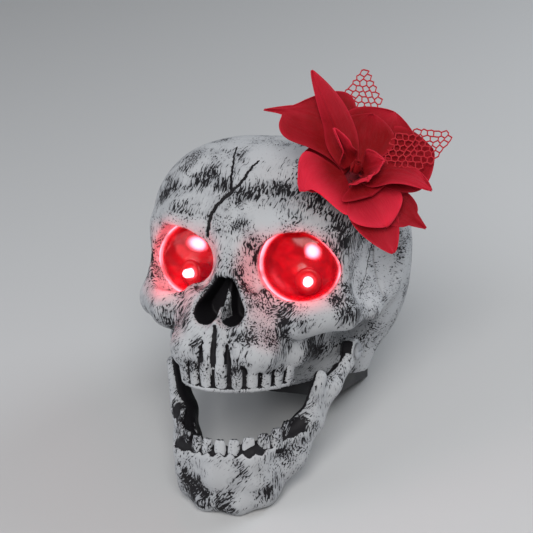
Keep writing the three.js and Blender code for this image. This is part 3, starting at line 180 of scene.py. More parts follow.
# Balls are (middle, radii, reach of the blend). Bars are (start, end, radius at each, reach of the blend).
BRAINCASE = ((0, 32, 70.5), (68, 80, 70.5))
BALLS = (
    ((0, 5, 90), (66, 50, 51), 22),
    ((30, 25, 95), (38, 54, 46), 14),
    ((34, 0, 100), (28, 33, 35), 14),
    ((0, -30, 52), (34, 34, 32), 14),
)
CRANIUM_BARS = (
    ((9, -39.5, 102), (33, -39, 105), 5, 5, 14),
    ((33, -39, 105), (49.5, -26, 97), 5, 4.5, 14),
    ((50, -26, 97), (53, -27, 74), 4.5, 6, 9),
    ((53.5, -30, 58), (38, -46, 55), 10, 11, 12),
    ((55, -26, 54), (61, -4, 56), 8, 5.5, 8),
    ((61, -4, 56), (62, 20, 64), 5.5, 6, 8),
    ((0, -38, 97), (0, -48, 78), 6, 6, 10),
    ((6, -35, 94), (10, -43, 72), 4, 4.5, 8),
    ((10, -43, 72), (19, -56, 54), 5, 8, 10),
    ((17, -55, 53), (19, -58, 38), 6, 7, 12),
    ((0, -58, 46), (15, -54.5, 46), 9, 9, 10),
    ((0, -62, 36), (19, -57, 36), 9, 9, 8),
    ((19, -57, 36), (29, -34, 35), 9, 8, 8),
    ((29, -34, 35), (29, -22, 36), 8, 8, 8),
)
MASTOID = ((42, 22, 20), (9, 12, 14), 12)
HOLLOWS = (
    ((29, -68, 60), (8, 10, 11), 12),
    ((16, -52, 82), (6.5, 9, 13), 7),
    ((75, -6, 84), (16, 26, 24), 12),
)
ARCH_GAP = ((51, -24, 38), (53, 2, 44), 9, 9, 8)
PALATE = ((0, -36, 18), (21, 30, 16))
NOSE_LOBE = ((7.4, 0, 58.2), (1.8, 0, 72), 6.7, 3.6)
NOSE_SPINE = ((0, -58, 48.5), (0, -67.5, 53), 3.2, 1.6, 4)
SEPTUM_HALF = 1.1
SEPTUM_FRONT = -60.0
SEPTUM_FOOT = 51.0
SEPTUM_LEAN = 0.55
SEPTUM_MIDDLE = 64.0
SEPTUM_RISE = 17.0
SEPTUM_BACK = -40.0
JAW_BARS = (
    ((53, -5, 31), (46.5, -20, 14), 5, 4.5, 1),
    ((46.5, -20, 14), (38, -28, -6), 4.5, 5.5, 6),
    ((44.5, -31, 21), (39.5, -34, 0), 3.4, 4.5, 8),
    ((38, -28, -6), (31, -38, -24), 5.5, 6, 6),
    ((31, -38, -24), (20, -53, -39), 6, 7.5, 8),
    ((20, -53, -39), (9, -59, -44), 7.5, 8, 8),
    ((9, -59, -44), (0, -60, -43), 8, 8.5, 4),
    ((0, -66.2, -31), (19, -60, -30), 6.3, 6, 9),
    ((0, -67.8, -24), (19, -61.5, -23), 6, 5.8, 9),
    ((19, -59, -30), (33, -38, -17), 5.5, 5, 8),
    ((0, -69, -17.5), (19, -63, -16.5), 5.5, 5.5, 8),
    ((19, -63, -16.5), (35, -36, -6), 5.5, 5, 8),
)
EAR_X = 52.1
EAR_HALF = 3.3
EAR_RADIUS = 6.5
EAR_BLEND = (13, 11)
GUM_LEVEL = -17.6
GUM_FRONT = -71.0
GUM_JAGS = 5.6
GUM_JAG = 1.9
GUM_JAG_VARY = 0.9
GUM_RECESS = 1.5
ARCH_STEP = 0.002
ROOT_Z = 27
ROOT_LENGTHS = (23, 16, 19, 12, 9, 8)
GROOVE_LENGTHS = (25, 21, 13, 9, 7)
PLATE_INSET = 1.6
PLATE_ROUND = 34.0
PLATE_HALF = 1.7
PLATE_Z = 24.4
PLATE_RISE = 7.0
PLATE_END = 4.0
LIP_OUT = 2.2
LIP_Z = 18.4
LIP_RADIUS = 1.6


def arch_point(arch, angle):
    return np.array([arch["half"] * math.sin(angle), arch["back"] - arch["depth"] * math.cos(angle)])


def arch_share(p, arch, inset=0.0):
    """1 on the line of an arch, or on one drawn that far inside it."""
    return np.hypot(p[:, 0] / (arch["half"] - inset), (p[:, 1] - arch["back"]) / (arch["depth"] - inset))


def arch_places(arch, widths):
    """Place, direction along the arch and outward direction of each tooth of one side."""
    t, places = 0.0, []
    for width in widths:
        start, begin = t, arch_point(arch, t)
        end = begin
        while np.linalg.norm(end - begin) < width:
            t += ARCH_STEP
            end = arch_point(arch, t)
        along = (end - begin) / np.linalg.norm(end - begin)
        places.append((arch_point(arch, (start + t) / 2), along, np.array([along[1], -along[0]])))
    return places


UPPER_TEETH = arch_places(UPPER_ARCH, UPPER_WIDTHS)
LOWER_TEETH = arch_places(LOWER_ARCH, LOWER_WIDTHS)


def root_bars():
    """Ridges over the roots of the upper teeth."""
    bars = []
    for (at, _, out), length in zip(UPPER_TEETH, ROOT_LENGTHS):
        low = at - out * 1.4
        high = at * np.array([0.8, 1]) - out * 5.2
        bars.append(((*low, ROOT_Z), (*high, ROOT_Z + length), 4.1, 3.4, 2.2))
    return bars


def groove_bars():
    """Grooves between the ridges, the first of them on the middle line."""
    spots = [arch_point(UPPER_ARCH, 0)]
    spots += [(first[0] + second[0]) / 2 for first, second in zip(UPPER_TEETH, UPPER_TEETH[1:])]
    bars = []
    for spot, length in zip(spots, GROOVE_LENGTHS):
        out = spot - np.array([0, UPPER_ARCH["back"]])
        out = out / np.linalg.norm(out)
        low = spot + out * 3.4
        high = spot * np.array([0.82, 1]) - out * 2.2
        bars.append(((*low, ROOT_Z - 2), (*high, ROOT_Z + length), 2.0, 0.6, 1.2))
    return bars


ROOTS = root_bars()
GROOVES = groove_bars()


def tooth_plate(p):
    """The wall that the upper crowns stand out from, with a lip along its lower edge."""
    arch = (arch_share(p, UPPER_ARCH, PLATE_INSET) - 1) * PLATE_ROUND
    wall = np.maximum(np.abs(arch) - PLATE_HALF, np.abs(p[:, 2] - PLATE_Z) - PLATE_RISE)
    lip = np.hypot(arch - LIP_OUT, p[:, 2] - LIP_Z) - LIP_RADIUS
    return np.maximum(join(wall, lip, 0.8), p[:, 1] - UPPER_ARCH["back"] + PLATE_END)


def mirrored(p):
    return np.column_stack([np.abs(p[:, 0]), p[:, 1], p[:, 2]])


def eye_turn(side):
    c, s = math.cos(side * EYE_TURN), math.sin(side * EYE_TURN)
    turn = np.array([[c, -s, 0], [s, c, 0], [0, 0, 1]])
    c, s = math.cos(side * EYE_DROOP), math.sin(side * EYE_DROOP)
    return turn @ np.array([[c, 0, s], [0, 1, 0], [-s, 0, c]])


LEFT_EYE = eye_turn(1)


def eye_points(local, side):
    return np.asarray(local, float) @ eye_turn(side).T + EYE_AT * np.array([side, 1, 1])


def lid_height(local, side):
    """How far points in the eye's frame lie above its bowed upper lid, which falls outwards."""
    c, s = math.cos(EYELID_TURN), side * math.sin(EYELID_TURN)
    along = c * local[:, 0] - s * local[:, 2]
    bow = EYELID_BOW * (1 - (along / EYELID_HALF) ** 2)
    return s * local[:, 0] + c * local[:, 2] - EYELID - bow


def cranium(p):
    p = mirrored(p)
    d = with_balls(ball(p, *BRAINCASE), p, BALLS)
    d = with_balls(with_bars(d, p, CRANIUM_BARS), p, [MASTOID])
    d = with_balls(d, p, HOLLOWS, cut)
    return with_bars(d, p, [ARCH_GAP], cut)


def nose_pocket(p):
    """A pear with two lobes, as deep as the nose."""
    q = np.column_stack([p[:, 0], np.zeros(len(p)), p[:, 2]])
    return np.maximum(bar(q, *NOSE_LOBE), p[:, 1] - NOSE_BACK_Y)


def septum(p):
    """The thin wall between the two sides of the nose, with a leaning front edge."""
    front = SEPTUM_FRONT + SEPTUM_LEAN * (p[:, 2] - SEPTUM_FOOT)
    wall = np.maximum(p[:, 0] - SEPTUM_HALF, front - p[:, 1])
    wall = np.maximum(wall, np.abs(p[:, 2] - SEPTUM_MIDDLE) - SEPTUM_RISE)
    return np.maximum(wall, p[:, 1] - SEPTUM_BACK)


def carved(p):
    """The skull with its sockets, nose, palate, root ridges and grooves."""
    d = cranium(p)
    p = mirrored(p)
    d = with_bars(d, p, [*ROOTS, NOSE_SPINE])
    d = with_bars(d, p, GROOVES, cut)
    d = join(d, tooth_plate(p), 0.6)
    d = cut(d, nose_pocket(p), 2.5)
    d = join(d, septum(p), 2)
    d = cut(d, ball(p, *PALATE), 2)
    local = (p - EYE_AT) @ LEFT_EYE
    return cut(d, np.maximum(ball(local, 0, EYE_RADII), lid_height(local, 1)), 2.2)


def face_field(p):
    return np.maximum(carved(p), p[:, 1] - SEAM_Y + SEAM_GAP / 2)


def rear_field(p):
    d = np.maximum(carved(p), SEAM_Y + SEAM_GAP / 2 - p[:, 1])
    return np.maximum(d, RIM_Z - p[:, 2])


def gum_line(p):
    """Height of the jagged upper edge of the jaw's front."""
    angle = np.arctan2(p[:, 0] / LOWER_ARCH["half"], (LOWER_ARCH["back"] - p[:, 1]) / LOWER_ARCH["depth"])
    zigzag = np.abs((angle * GUM_JAGS + 0.35) % 1 - 0.5) * 2
    rise = np.maximum(p[:, 1] - GUM_FRONT, 0) * LOWER_SLOPE
    return GUM_LEVEL + rise + (GUM_JAG + GUM_JAG_VARY * np.sin(3.7 * angle + 0.6)) * zigzag


def jaw_field(p):
    """The jaw with its hinge ears, cut where it stands on the floor."""
    line = gum_line(p)
    p = mirrored(p)
    d = with_bars(bar(p, *JAW_BARS[0][:4]), p, JAW_BARS[1:])
    front = ramp(-p[:, 1], 38, 50)
    d = d + GUM_RECESS * front * ramp(p[:, 2], line - 0.5, line + 0.5)
    ear = np.abs(p[:, 0] - EAR_X) - EAR_HALF
    disc = np.hypot(p[:, 1] - HINGE[1], p[:, 2] - HINGE[2])
    near = ramp(disc, *EAR_BLEND)
    d = np.maximum(d, near * ear + (near - 1) * 50)
    ear = np.maximum(ear, disc - EAR_RADIUS)
    above = TILT[2, 1] * p[:, 1] + TILT[2, 2] * p[:, 2] + PLACE[2]
    return np.maximum(np.minimum(d, ear), -above)


# Skins of fields

def sampled(field, axes, step):
    """The field on a grid, worked out only in the blocks that its surface may cross."""
    shape = [len(a) for a in axes]
    block = 8
    value = np.full(shape, 1e3)
    starts = [np.arange(0, n, block) for n in shape]
    corners = np.array(np.meshgrid(*starts, indexing="ij")).reshape(3, -1).T
    origin = np.array([a[0] for a in axes])
    half = block / 2
    centre = field(origin + (corners + half) * step)
    reach = half * step * 1.9
    for corner in corners[centre < -reach]:
        i, j, k = corner
        value[i:i + block, j:j + block, k:k + block] = -1e3
    kept = corners[np.abs(centre) <= reach]
    offsets = np.array(np.meshgrid(*[np.arange(block)] * 3, indexing="ij")).reshape(3, -1).T
    index = (kept[:, None, :] + offsets[None]).reshape(-1, 3)
    index = index[(index < np.array(shape)).all(axis=1)]
    for part in np.array_split(index, max(1, len(index) // 300000)):
        value[tuple(part.T)] = field(origin + part * step)
    return value


def slope_of(field, points, nudge=0.15):
    parts = []
    for axis in np.eye(3):
        parts.append((field(points + nudge * axis) - field(points - nudge * axis)) / (2 * nudge))
    return np.column_stack(parts)


def settled_on(field, points, rounds, limit=np.inf):
    """Points moved square to a field's surface until they lie on it, by no more than a limit each time."""
    for _ in range(rounds):
        slope = slope_of(field, points)
        move = slope * (field(points) / np.maximum((slope ** 2).sum(axis=1), 0.2))[:, None]
        length = np.maximum(np.linalg.norm(move, axis=1), 1e-9)
        points = points - move * np.minimum(1, limit / length)[:, None]
    return points


def skin(field, low, high, step):
    """Points and quads of a field's surface: one point in each crossed cell."""
    axes = [np.arange(a, b + step, step) for a, b in zip(low, high)]
    value = sampled(field, axes, step)
    shape = np.array(value.shape)
    inside = value < 0
    size = int(shape.prod())
    total, count, quads = np.zeros((size, 3)), np.zeros(size), []
    for axis in range(3):
        first, second = [slice(None)] * 3, [slice(None)] * 3
        first[axis], second[axis] = slice(0, -1), slice(1, None)
        start = np.argwhere(inside[tuple(first)] != inside[tuple(second)])
        end = start.copy()
        end[:, axis] += 1
        a, b = value[tuple(start.T)], value[tuple(end.T)]
        point = start + (a / (a - b))[:, None] * np.eye(3)[axis]
        u, w = (axis + 1) % 3, (axis + 2) % 3
        ring = []
        for du, dw in ((0, 0), (-1, 0), (-1, -1), (0, -1)):
            cell = start.copy()
            cell[:, u] += du
            cell[:, w] += dw
            flat = np.ravel_multi_index(tuple(cell.T), value.shape)
            np.add.at(total, flat, point)
            np.add.at(count, flat, 1)
            ring.append(flat)
        ring = np.stack(ring, axis=1)
        ring[a >= 0] = ring[a >= 0][:, ::-1]
        quads.append(ring)
    quads = np.concatenate(quads)
    used, faces = np.unique(quads, return_inverse=True)
    points = total[used] / count[used][:, None] * step + np.array([a[0] for a in axes])
    return settled_on(field, points, 2, 0.5 * step), faces.reshape(-1, 4)


def shade(field, points):
    """How far each point lies in a hollow of the form, from 0 to 1. It darkens the wash there and paints
    shade into the deepest hollows.
    """
    normal = slope_of(field, points, 0.5)
    normal /= np.maximum(np.linalg.norm(normal, axis=1), 1e-6)[:, None]
    dark = np.zeros(len(points))
    for reach, weight in ((1.6, 0.25), (3.5, 0.3), (7, 0.3), (13, 0.25)):
        dark += weight * np.clip(1 - field(points + normal * reach) / reach, 0, 1)
    return dark, normal


# Cracks and sutures: points on the bone, width and depth. Several start from one of two forks.
BROW_FORK = (-4.2, -38.6, 119.2)
REAR_FORK = (0, 108, 92)
CRACKS = (
    ((BROW_FORK, (-9.5, -43, 113.4), (-12.2, -47.3, 107.3), (-12.9, -48.4, 100.5), (-14.4, -47.8, 95.4)),
     1.9, 1.3),
    ((BROW_FORK, (-7.1, -32.9, 126), (-9.6, -25, 132.2), (-15.2, -8, 140.4)), 1.3, 1.0),
    ((BROW_FORK, (0.2, -34.3, 124.8), (2, -28.3, 130.2), (4.4, -22.4, 134.7)), 1.5, 1.0),
    (((62, -7, 100), (61.1, -8, 96.8), (60.2, -14, 95)), 0.7, 0.8),
    (((60.4, -12.5, 95.3), (60.3, -9, 93), (60, -6, 91)), 0.7, 0.7),
    (((62.4, 4.5, 93), (61.3, 3, 87.3), (60.3, 0, 79.6), (60.2, -4.5, 72.8), (60.2, -12, 66.8)), 0.8, 0.8),
    ((REAR_FORK, (14, 108, 82), (28, 103, 72), (44, 92, 60)), 0.9, 0.8),
    ((REAR_FORK, (-14, 108, 82), (-28, 103, 72), (-44, 92, 60)), 0.9, 0.8),
    ((REAR_FORK, (0, 98, 111), (0, 78, 129)), 0.9, 0.8),
)
CRACK_NEAR = 2.6
CHUNK = 20000


def crack_line(points, seed):
    """A finely stepped line through the points, with small sideways kinks."""
    points = np.array(points, float)
    last = len(points) - 1
    spots = np.linspace(0, last, 20 * last + 1)
    before = np.minimum(spots.astype(int), last - 1)
    t = (spots - before)[:, None]
    slopes = np.gradient(points, axis=0)
    line = ((2 * t ** 3 - 3 * t ** 2 + 1) * points[before] + (t ** 3 - 2 * t ** 2 + t) * slopes[before]
            + (3 * t ** 2 - 2 * t ** 3) * points[before + 1] + (t ** 3 - t ** 2) * slopes[before + 1])
    kink = np.column_stack([np.sin(spots * 9.1 + seed + i * 2.1) + 0.6 * np.sin(spots * 23.7 + 3 * seed + i)
                            for i in range(3)])
    fade = np.minimum(1, np.minimum(spots, spots[-1] - spots) * 3)
    return line + 0.22 * kink * fade[:, None]


CRACK_LINES = [(settled_on(carved, crack_line(points, i), 4), width, depth)
               for i, (points, width, depth) in enumerate(CRACKS)]


def crack_depth(points):
    """Depth and darkness of the cracks at each point."""
    depth, dark = np.zeros(len(points)), np.zeros(len(points))
    for line, width, deep in CRACK_LINES:
        low, high = line.min(axis=0) - 3, line.max(axis=0) + 3
        near = np.flatnonzero(((points > low) & (points < high)).all(axis=1))
        if not len(near):
            continue
        gaps = np.linalg.norm(points[near][:, None] - line[None], axis=2)
        closest = gaps.argmin(axis=1)
        gap = gaps[np.arange(len(near)), closest]
        along = closest / (len(line) - 1)
        narrow = width * (1 - 0.35 * along)
        share = ramp(gap, narrow, narrow * 0.25)
        depth[near] = np.maximum(depth[near], deep * share)
        dark[near] = np.maximum(dark[near], ramp(gap, narrow * 0.95, narrow * 0.45))
    return depth, dark


def refined(points, faces):
    """The mesh with finer faces along the cracks."""
    lines = np.concatenate([line for line, _, _ in CRACK_LINES])
    mesh = bmesh.new()
    verts = [mesh.verts.new(p) for p in points]
    for face in faces:
        mesh.faces.new([verts[i] for i in face])
    mesh.verts.index_update()
    near = np.zeros(len(points), bool)
    for low in range(0, len(points), CHUNK):
        part = points[low:low + CHUNK]
        gaps = np.full(len(part), np.inf)
        for chunk in np.array_split(lines, 8):
            gaps = np.minimum(gaps, np.linalg.norm(part[:, None] - chunk[None], axis=2).min(axis=1))
        near[low:low + CHUNK] = gaps < CRACK_NEAR
    edges = [e for e in mesh.edges if near[e.verts[0].index] and near[e.verts[1].index]]
    bmesh.ops.subdivide_edges(mesh, edges=edges, cuts=2, use_grid_fill=True)
    mesh.verts.index_update()
    points = np.array([v.co for v in mesh.verts])
    faces = [[v.index for v in f.verts] for f in mesh.faces]
    mesh.free()
    return points, faces


# Materials

class Surface:
    """A new material, with short ways to add and link its nodes."""

    def __init__(self, name):
        self.material = bpy.data.materials.new(name)
        self.material.use_nodes = True
        self.tree = self.material.node_tree

    def put(self, socket, value):
        if isinstance(value, bpy.types.NodeSocket):
            self.tree.links.new(value, socket)
        else:
            socket.default_value = value

    def fill(self, node, inputs):
        for name, value in inputs.items():
            self.put(node.inputs[name.replace("_", " ")], value)

    def node(self, kind, **inputs):
        node = self.tree.nodes.new(f"ShaderNode{kind}")
        self.fill(node, inputs)
        return node

    def shade(self, **inputs):
        """Sets or links inputs of the material's own shader."""
        self.fill(self.tree.nodes["Principled BSDF"], inputs)

    def math(self, operation, a, b, clamp=False):
        node = self.node("Math")
        node.operation = operation
        node.use_clamp = clamp
        self.put(node.inputs[0], a)
        self.put(node.inputs[1], b)
        return node.outputs[0]

    def plus(self, a, b, clamp=False):
        return self.math("ADD", a, b, clamp)

    def minus(self, a, b):
        return self.math("SUBTRACT", a, b)

    def times(self, a, b):
        return self.math("MULTIPLY", a, b)

    def swing(self, value, size):
        """How far a noise lies from its middle, times a size."""
        return self.times(self.minus(value, 0.5), size)

    def ramp(self, value, low, high, to_low=0.0, to_high=1.0):
        node = self.node("MapRange", Value=value, From_Min=low, From_Max=high, To_Min=to_low, To_Max=to_high)
        node.interpolation_type = "SMOOTHSTEP"
        return node.outputs["Result"]

    def mix(self, share, first, second):
        node = self.node("Mix")
        node.data_type = "RGBA"
        self.put(node.inputs["Factor"], share)
        for socket, value in zip([s for s in node.inputs if s.type == "RGBA"], (first, second)):
            self.put(socket, value)
        return [s for s in node.outputs if s.type == "RGBA"][0]

    def place(self, scale=(1, 1, 1), turn=(0, 0, 0), source="Object"):
        where = self.node("TexCoord").outputs[source]
        return self.node("Mapping", Vector=where, Rotation=turn, Scale=scale).outputs["Vector"]

    def noise(self, vector, scale, detail=3.0, rough=0.55, output="Fac"):
        node = self.node("TexNoise", Vector=vector, Scale=scale, Detail=detail, Roughness=rough)
        return node.outputs[output]

    def value(self, name):
        node = self.node("Attribute")
        node.attribute_name = name
        return node.outputs["Fac"]

    def bump(self, height, strength, distance):
        return self.node("Bump", Height=height, Strength=strength, Distance=distance).outputs["Normal"]


def grain_material(name, colour, rough, metal=0.0, grain=900.0, vary=0.25, bump=0.0001):
    """Plain moulded or plated surface with uneven colour, gloss and a fine grain."""
    s = Surface(name)
    where = s.place()
    cloudy, fine = s.noise(where, 60, 4), s.noise(where, grain, 3)
    dark = tuple(c * (1 - vary) for c in colour) + (1,)
    light = tuple(min(1, c * (1 + vary)) for c in colour) + (1,)
    gloss = s.plus(cloudy, s.times(fine, 0.5))
    s.shade(Base_Color=s.mix(s.ramp(cloudy, 0.35, 0.65), dark, light), Metallic=metal,
            Roughness=s.ramp(gloss, 0.5, 1.0, rough * 0.8, min(1, rough * 1.2)),
            Normal=s.bump(fine, 0.4, bump))
    return s.material


BONE_LIGHT = (0.47, 0.48, 0.495, 1)
BONE_GREY = (0.32, 0.33, 0.35, 1)
FILM_GREY = (0.13, 0.13, 0.145, 1)
BLACK_WASH_AND_SHADE = (0.010, 0.009, 0.011, 1)
STROKE_WIDTH = 0.85


def bone_material():
    """Bone-white plastic under a black wash that is brushed off, so that short strokes of it are left."""
    s = Surface("aged_bone")
    plain = s.place((1000, 1000, 1000), (math.asin(LEAN_SIN), 0, 0))
    shift = s.node("VectorMath")
    shift.operation = "MULTIPLY_ADD"
    for socket, value in zip(shift.inputs, (s.noise(plain, 0.06, 2, output="Color"), (8, 8, 8), plain)):
        s.put(socket, value)
    bent = shift.outputs["Vector"]

    def strokes(turn, length):
        node = s.node("Mapping", Vector=bent, Rotation=turn, Scale=(STROKE_WIDTH, STROKE_WIDTH, length))
        node.vector_type = "TEXTURE"
        return s.noise(node.outputs["Vector"], 1.0, 2.0)

    def share(first, second, amount):
        return s.plus(s.times(first, s.minus(1.0, amount)), s.times(second, amount))

    lay = s.plus(s.value("lay"), s.noise(plain, 0.05, 1))
    streak = strokes((-0.85, 0, 0), 7.0)
    for i, (turn, length) in enumerate((((0.1, 0.1, 0), 7.0), ((0.1, 0.75, 0), 6.5), ((1.5, 0, 0), 4.5))):
        streak = share(streak, strokes(turn, length), s.ramp(lay, i + 0.97, i + 1.03))
    patch, speck = s.noise(plain, 0.07, 3), s.noise(plain, 1.3, 2)
    # The wash value holds the black wash together with painted shade in hollows and some patches; the ink
    # value is solid black, with the deepest hollows painted black as shade.
    wash, ink = s.value("wash"), s.value("ink")
    score = s.plus(streak, s.swing(patch, 0.62))
    score = s.plus(score, s.times(wash, 0.26))
    score = s.plus(score, s.swing(speck, 0.12))
    ragged = s.plus(ink, s.swing(streak, 0.9))
    black = s.math("MAXIMUM", s.ramp(score, 0.605, 0.655), s.ramp(ragged, 0.42, 0.58))
    film = s.times(s.ramp(score, 0.5, 0.63), 0.4)
    # Greyer bone where the patch noise and the wash value are high, partly painted shade.
    smear_and_shade = s.ramp(s.plus(patch, s.times(wash, 0.3)), 0.38, 0.78)
    bone = s.mix(film, s.mix(smear_and_shade, BONE_LIGHT, BONE_GREY), FILM_GREY)
    gloss = s.plus(speck, s.times(black, 0.4))
    height = s.minus(s.times(speck, 0.5), s.times(black, 0.6))
    s.shade(Base_Color=s.mix(black, bone, BLACK_WASH_AND_SHADE), Roughness=s.ramp(gloss, 0.3, 1.0, 0.75, 0.55),
            Specular_IOR_Level=0.18, Normal=s.bump(height, 0.35, 0.0004))
    return s.material


LENS_DARK, LENS_BRIGHT = (0.45, 0.0, 0.012, 1), (0.7, 0.005, 0.03, 1)
CUP_DARK, CUP_BRIGHT = (0.16, 0.0004, 0.003, 1), (0.5, 0.003, 0.014, 1)
PETAL_SHADED, PETAL_LIT = (0.22, 0.0005, 0.003, 1), (0.72, 0.02, 0.05, 1)
NET_DARK, NET_BRIGHT = (0.3, 0.002, 0.008, 1), (0.58, 0.008, 0.024, 1)


def lens_material():
    """Clear red plastic: see-through and glossy, with a painted glow (emission) along its edge where the edge
    would guide the lamp's light.
    """
    s = Surface("red_lens")
    cloudy, edge = s.noise(s.place(), 130, 3), s.value("rim")
    rim = s.times(s.ramp(edge, 0.92, 1.0), s.ramp(cloudy, 0.3, 0.6, 0.25, 1.0))
    s.shade(Base_Color=s.mix(s.ramp(cloudy, 0.3, 0.7), LENS_DARK, LENS_BRIGHT),
            Roughness=s.ramp(cloudy, 0.3, 0.7, 0.05, 0.14), Alpha=s.ramp(edge, 0.85, 1.0, 0.16, 0.75),
            Emission_Color=(1, 0.16, 0.2, 1), Emission_Strength=s.times(rim, 5.0),
            Coat_Weight=0.6, Coat_Roughness=0.06)
    return s.material


def cup_material():
    """Glossy red moulding, with a painted reflection of the lamp (an emitting spot) in its upper wall."""
    s = Surface("red_cup")
    cloudy = s.noise(s.place(), 90, 3)
    s.shade(Base_Color=s.mix(s.ramp(cloudy, 0.4, 0.6), CUP_DARK, CUP_BRIGHT),
            Roughness=s.ramp(cloudy, 0.3, 0.7, 0.16, 0.3), Emission_Color=(1, 0.1, 0.14, 1),
            Emission_Strength=s.times(s.value("glow"), 14.0), Normal=s.bump(cloudy, 0.25, 0.0006))
    return s.material


def lamp_material():
    s = Surface("lit_lamp")
    fine = s.noise(s.place(), 400, 2)
    s.shade(Base_Color=(0.9, 0.2, 0.22, 1), Roughness=s.ramp(fine, 0.3, 0.7, 0.1, 0.2),
            Emission_Color=(1, 0.12, 0.15, 1), Emission_Strength=16.0)
    return s.material


def petal_material():
    """Red satin cloth with pressed veins, with painted light: paler on some petals and towards its cut edges.
    """
    s = Surface("petal_cloth")
    veins = s.noise(s.place((5, 26, 1), source="UV"), 1.0, 4, 0.6)
    weave = s.noise(s.place((160, 160, 1), source="UV"), 1.0, 2)
    # Painted light from the petal's value, with a random mottle of the cloth's colour.
    pale = s.plus(s.value("tone"), s.swing(s.noise(s.place(), 45, 3), 0.7), clamp=True)
    height = s.plus(veins, s.times(weave, 0.25))
    s.shade(Base_Color=s.mix(pale, PETAL_SHADED, PETAL_LIT), Roughness=s.ramp(veins, 0.3, 0.7, 0.6, 0.85),
            Specular_IOR_Level=0.15, Sheen_Weight=0.08, Sheen_Tint=(1, 0.2, 0.25, 1),
            Subsurface_Weight=0.12, Subsurface_Radius=(0.004, 0.0008, 0.0008),
            Normal=s.bump(height, 0.5, 0.0007))
    return s.material


def net_material():
    s = Surface("net_cloth")
    fine = s.noise(s.place(), 900, 2)
    s.shade(Base_Color=s.mix(fine, NET_DARK, NET_BRIGHT), Roughness=s.ramp(fine, 0.3, 0.7, 0.7, 0.9),
            Normal=s.bump(fine, 0.5, 0.0002))
    return s.material


BONE = bone_material()
LENS = lens_material()
CUP = cup_material()
LAMP = lamp_material()
PETAL = petal_material()
NET = net_material()
HOLDER = grain_material("dark_red_holder", (0.16, 0.002, 0.006), 0.3)
BLACK = grain_material("black_moulding", (0.018, 0.018, 0.02), 0.55, grain=1600, vary=0.35)
STEEL = grain_material("plated_steel", (0.55, 0.56, 0.58), 0.3, 1.0, grain=1200, vary=0.12)
DARK_SCREW = grain_material("painted_screw", (0.30, 0.31, 0.33), 0.55, 0.0, grain=1200, vary=0.3)
BOARD = grain_material("circuit_board", (0.03, 0.16, 0.06), 0.5)
JACKET = grain_material("cell_jacket", (0.05, 0.055, 0.065), 0.35)
SLEEVE = grain_material("wire_sleeve", (0.30, 0.01, 0.015), 0.5)
FELT = grain_material("felt", (0.16, 0.004, 0.012), 0.95, grain=2600, vary=0.4, bump=0.0004)


# Bone pieces

# Boxes that the surfaces lie in
FACE_BOX = ((-74, -82, -5), (74, 9, 146))
REAR_BOX = ((-74, 3, 11), (74, 117, 146))
JAW_BOX = ((-66, -82, -58), (66, 8, 44))
# Places where the brush left more black (or less), some of them painted shade: place, reach and amount
BRUSH_AND_SHADE_PATCHES = (
    ((3.5, -40.5, 117), 6, 0.6), ((12, -38, 119), 6, 0.65), ((20.5, -34, 122), 6.5, 0.6),
    ((27, -32, 123.5), 6.5, 0.5), ((-24, -31, 125), 9, 0.7), ((-11.5, -35.5, 122), 5, 0.6),
    ((-38, -21, 131), 7, 0.5), ((-26, -45.5, 110), 7, 0.6), ((-50, -26, 117), 11, 0.5),
    ((5.5, -48.5, 104), 5, 0.5), ((42, -35, 115.5), 8, 0.7), ((52, -32, 104), 8, 0.5),
    ((58, -27, 96), 8, 0.5), ((36, -55, 57), 6, 0.4), ((27, -62, 44), 8, 0.1), ((17, -67, 46), 5, 0.3),
    ((-22, -61, 54), 7, 0.5), ((58, -36, 62), 8, 0.5), ((61, -31, 66), 7, 0.5), ((62, -14, 98), 9, 0.6),
    ((59, -37, 55), 6, 0.6), ((62, -27, 57), 7, 0.6), ((56, -39, 65), 5, 0.5),
    ((10.6, -67.8, 46.5), 4.5, 0.65), ((9.5, -69, 40.5), 3.5, 0.5), ((19, -66, 45), 6, 0.2),
    ((26, -63, 41), 6, 0.1), ((34, -55, 50), 6, 0.45), ((-10.5, -68.7, 43.5), 4.5, 0.65),
    # The two patches at x = 38 and x = 40 paint shade into the hollow under the cheek arch.
    ((-12.5, -69, 39.5), 3.5, 0.4), ((38, -32, 33), 9, 0.6), ((40, -18, 33), 10, 0.6),
    ((-12, -67, -39), 11, 0.65), ((-2, -68, -45), 8, 0.6), ((5, -67, -48), 7, 0.5),
    ((-19, -65, -30), 7, 0.3), ((17, -67.5, -25.5), 4, 0.6), ((25, -61, -17), 5, 0.6),
    ((34, -48, -17), 8, 0.4), ((24, -62, -35), 6, 0.35), ((16, -47, 108), 9, -0.3),
    ((0, -5, 141), 26, -0.15), ((4, -70, -28), 10, -0.3), ((-6, -70, -24), 8, -0.3),
    ((14, -67, -40), 6, -0.3), ((24, -64, 34), 8, -0.3), ((62, 20, 62), 16, -0.3),
    ((0, 95, 100), 40, -0.1),
)


def brush_and_shade_patches(p):
    total = np.zeros(len(p))
    for at, reach, amount in BRUSH_AND_SHADE_PATCHES:
        gap = np.linalg.norm(p - np.array(at), axis=1)
        total += amount * ramp(gap, 1.35 * reach, 0.3 * reach)
    return total


def stroke_lay(p):
    """0 where the brush went up the slope of the brow, 1 upright, 2 slanting and 3 level."""
    face_low = ramp(p[:, 2], 102, 86)
    side = ramp(p[:, 1], -14, 4) * ramp(np.abs(p[:, 0]), 46, 56)
    return 0.35 + 1.15 * face_low + side * (2.25 - 1.15 * face_low)


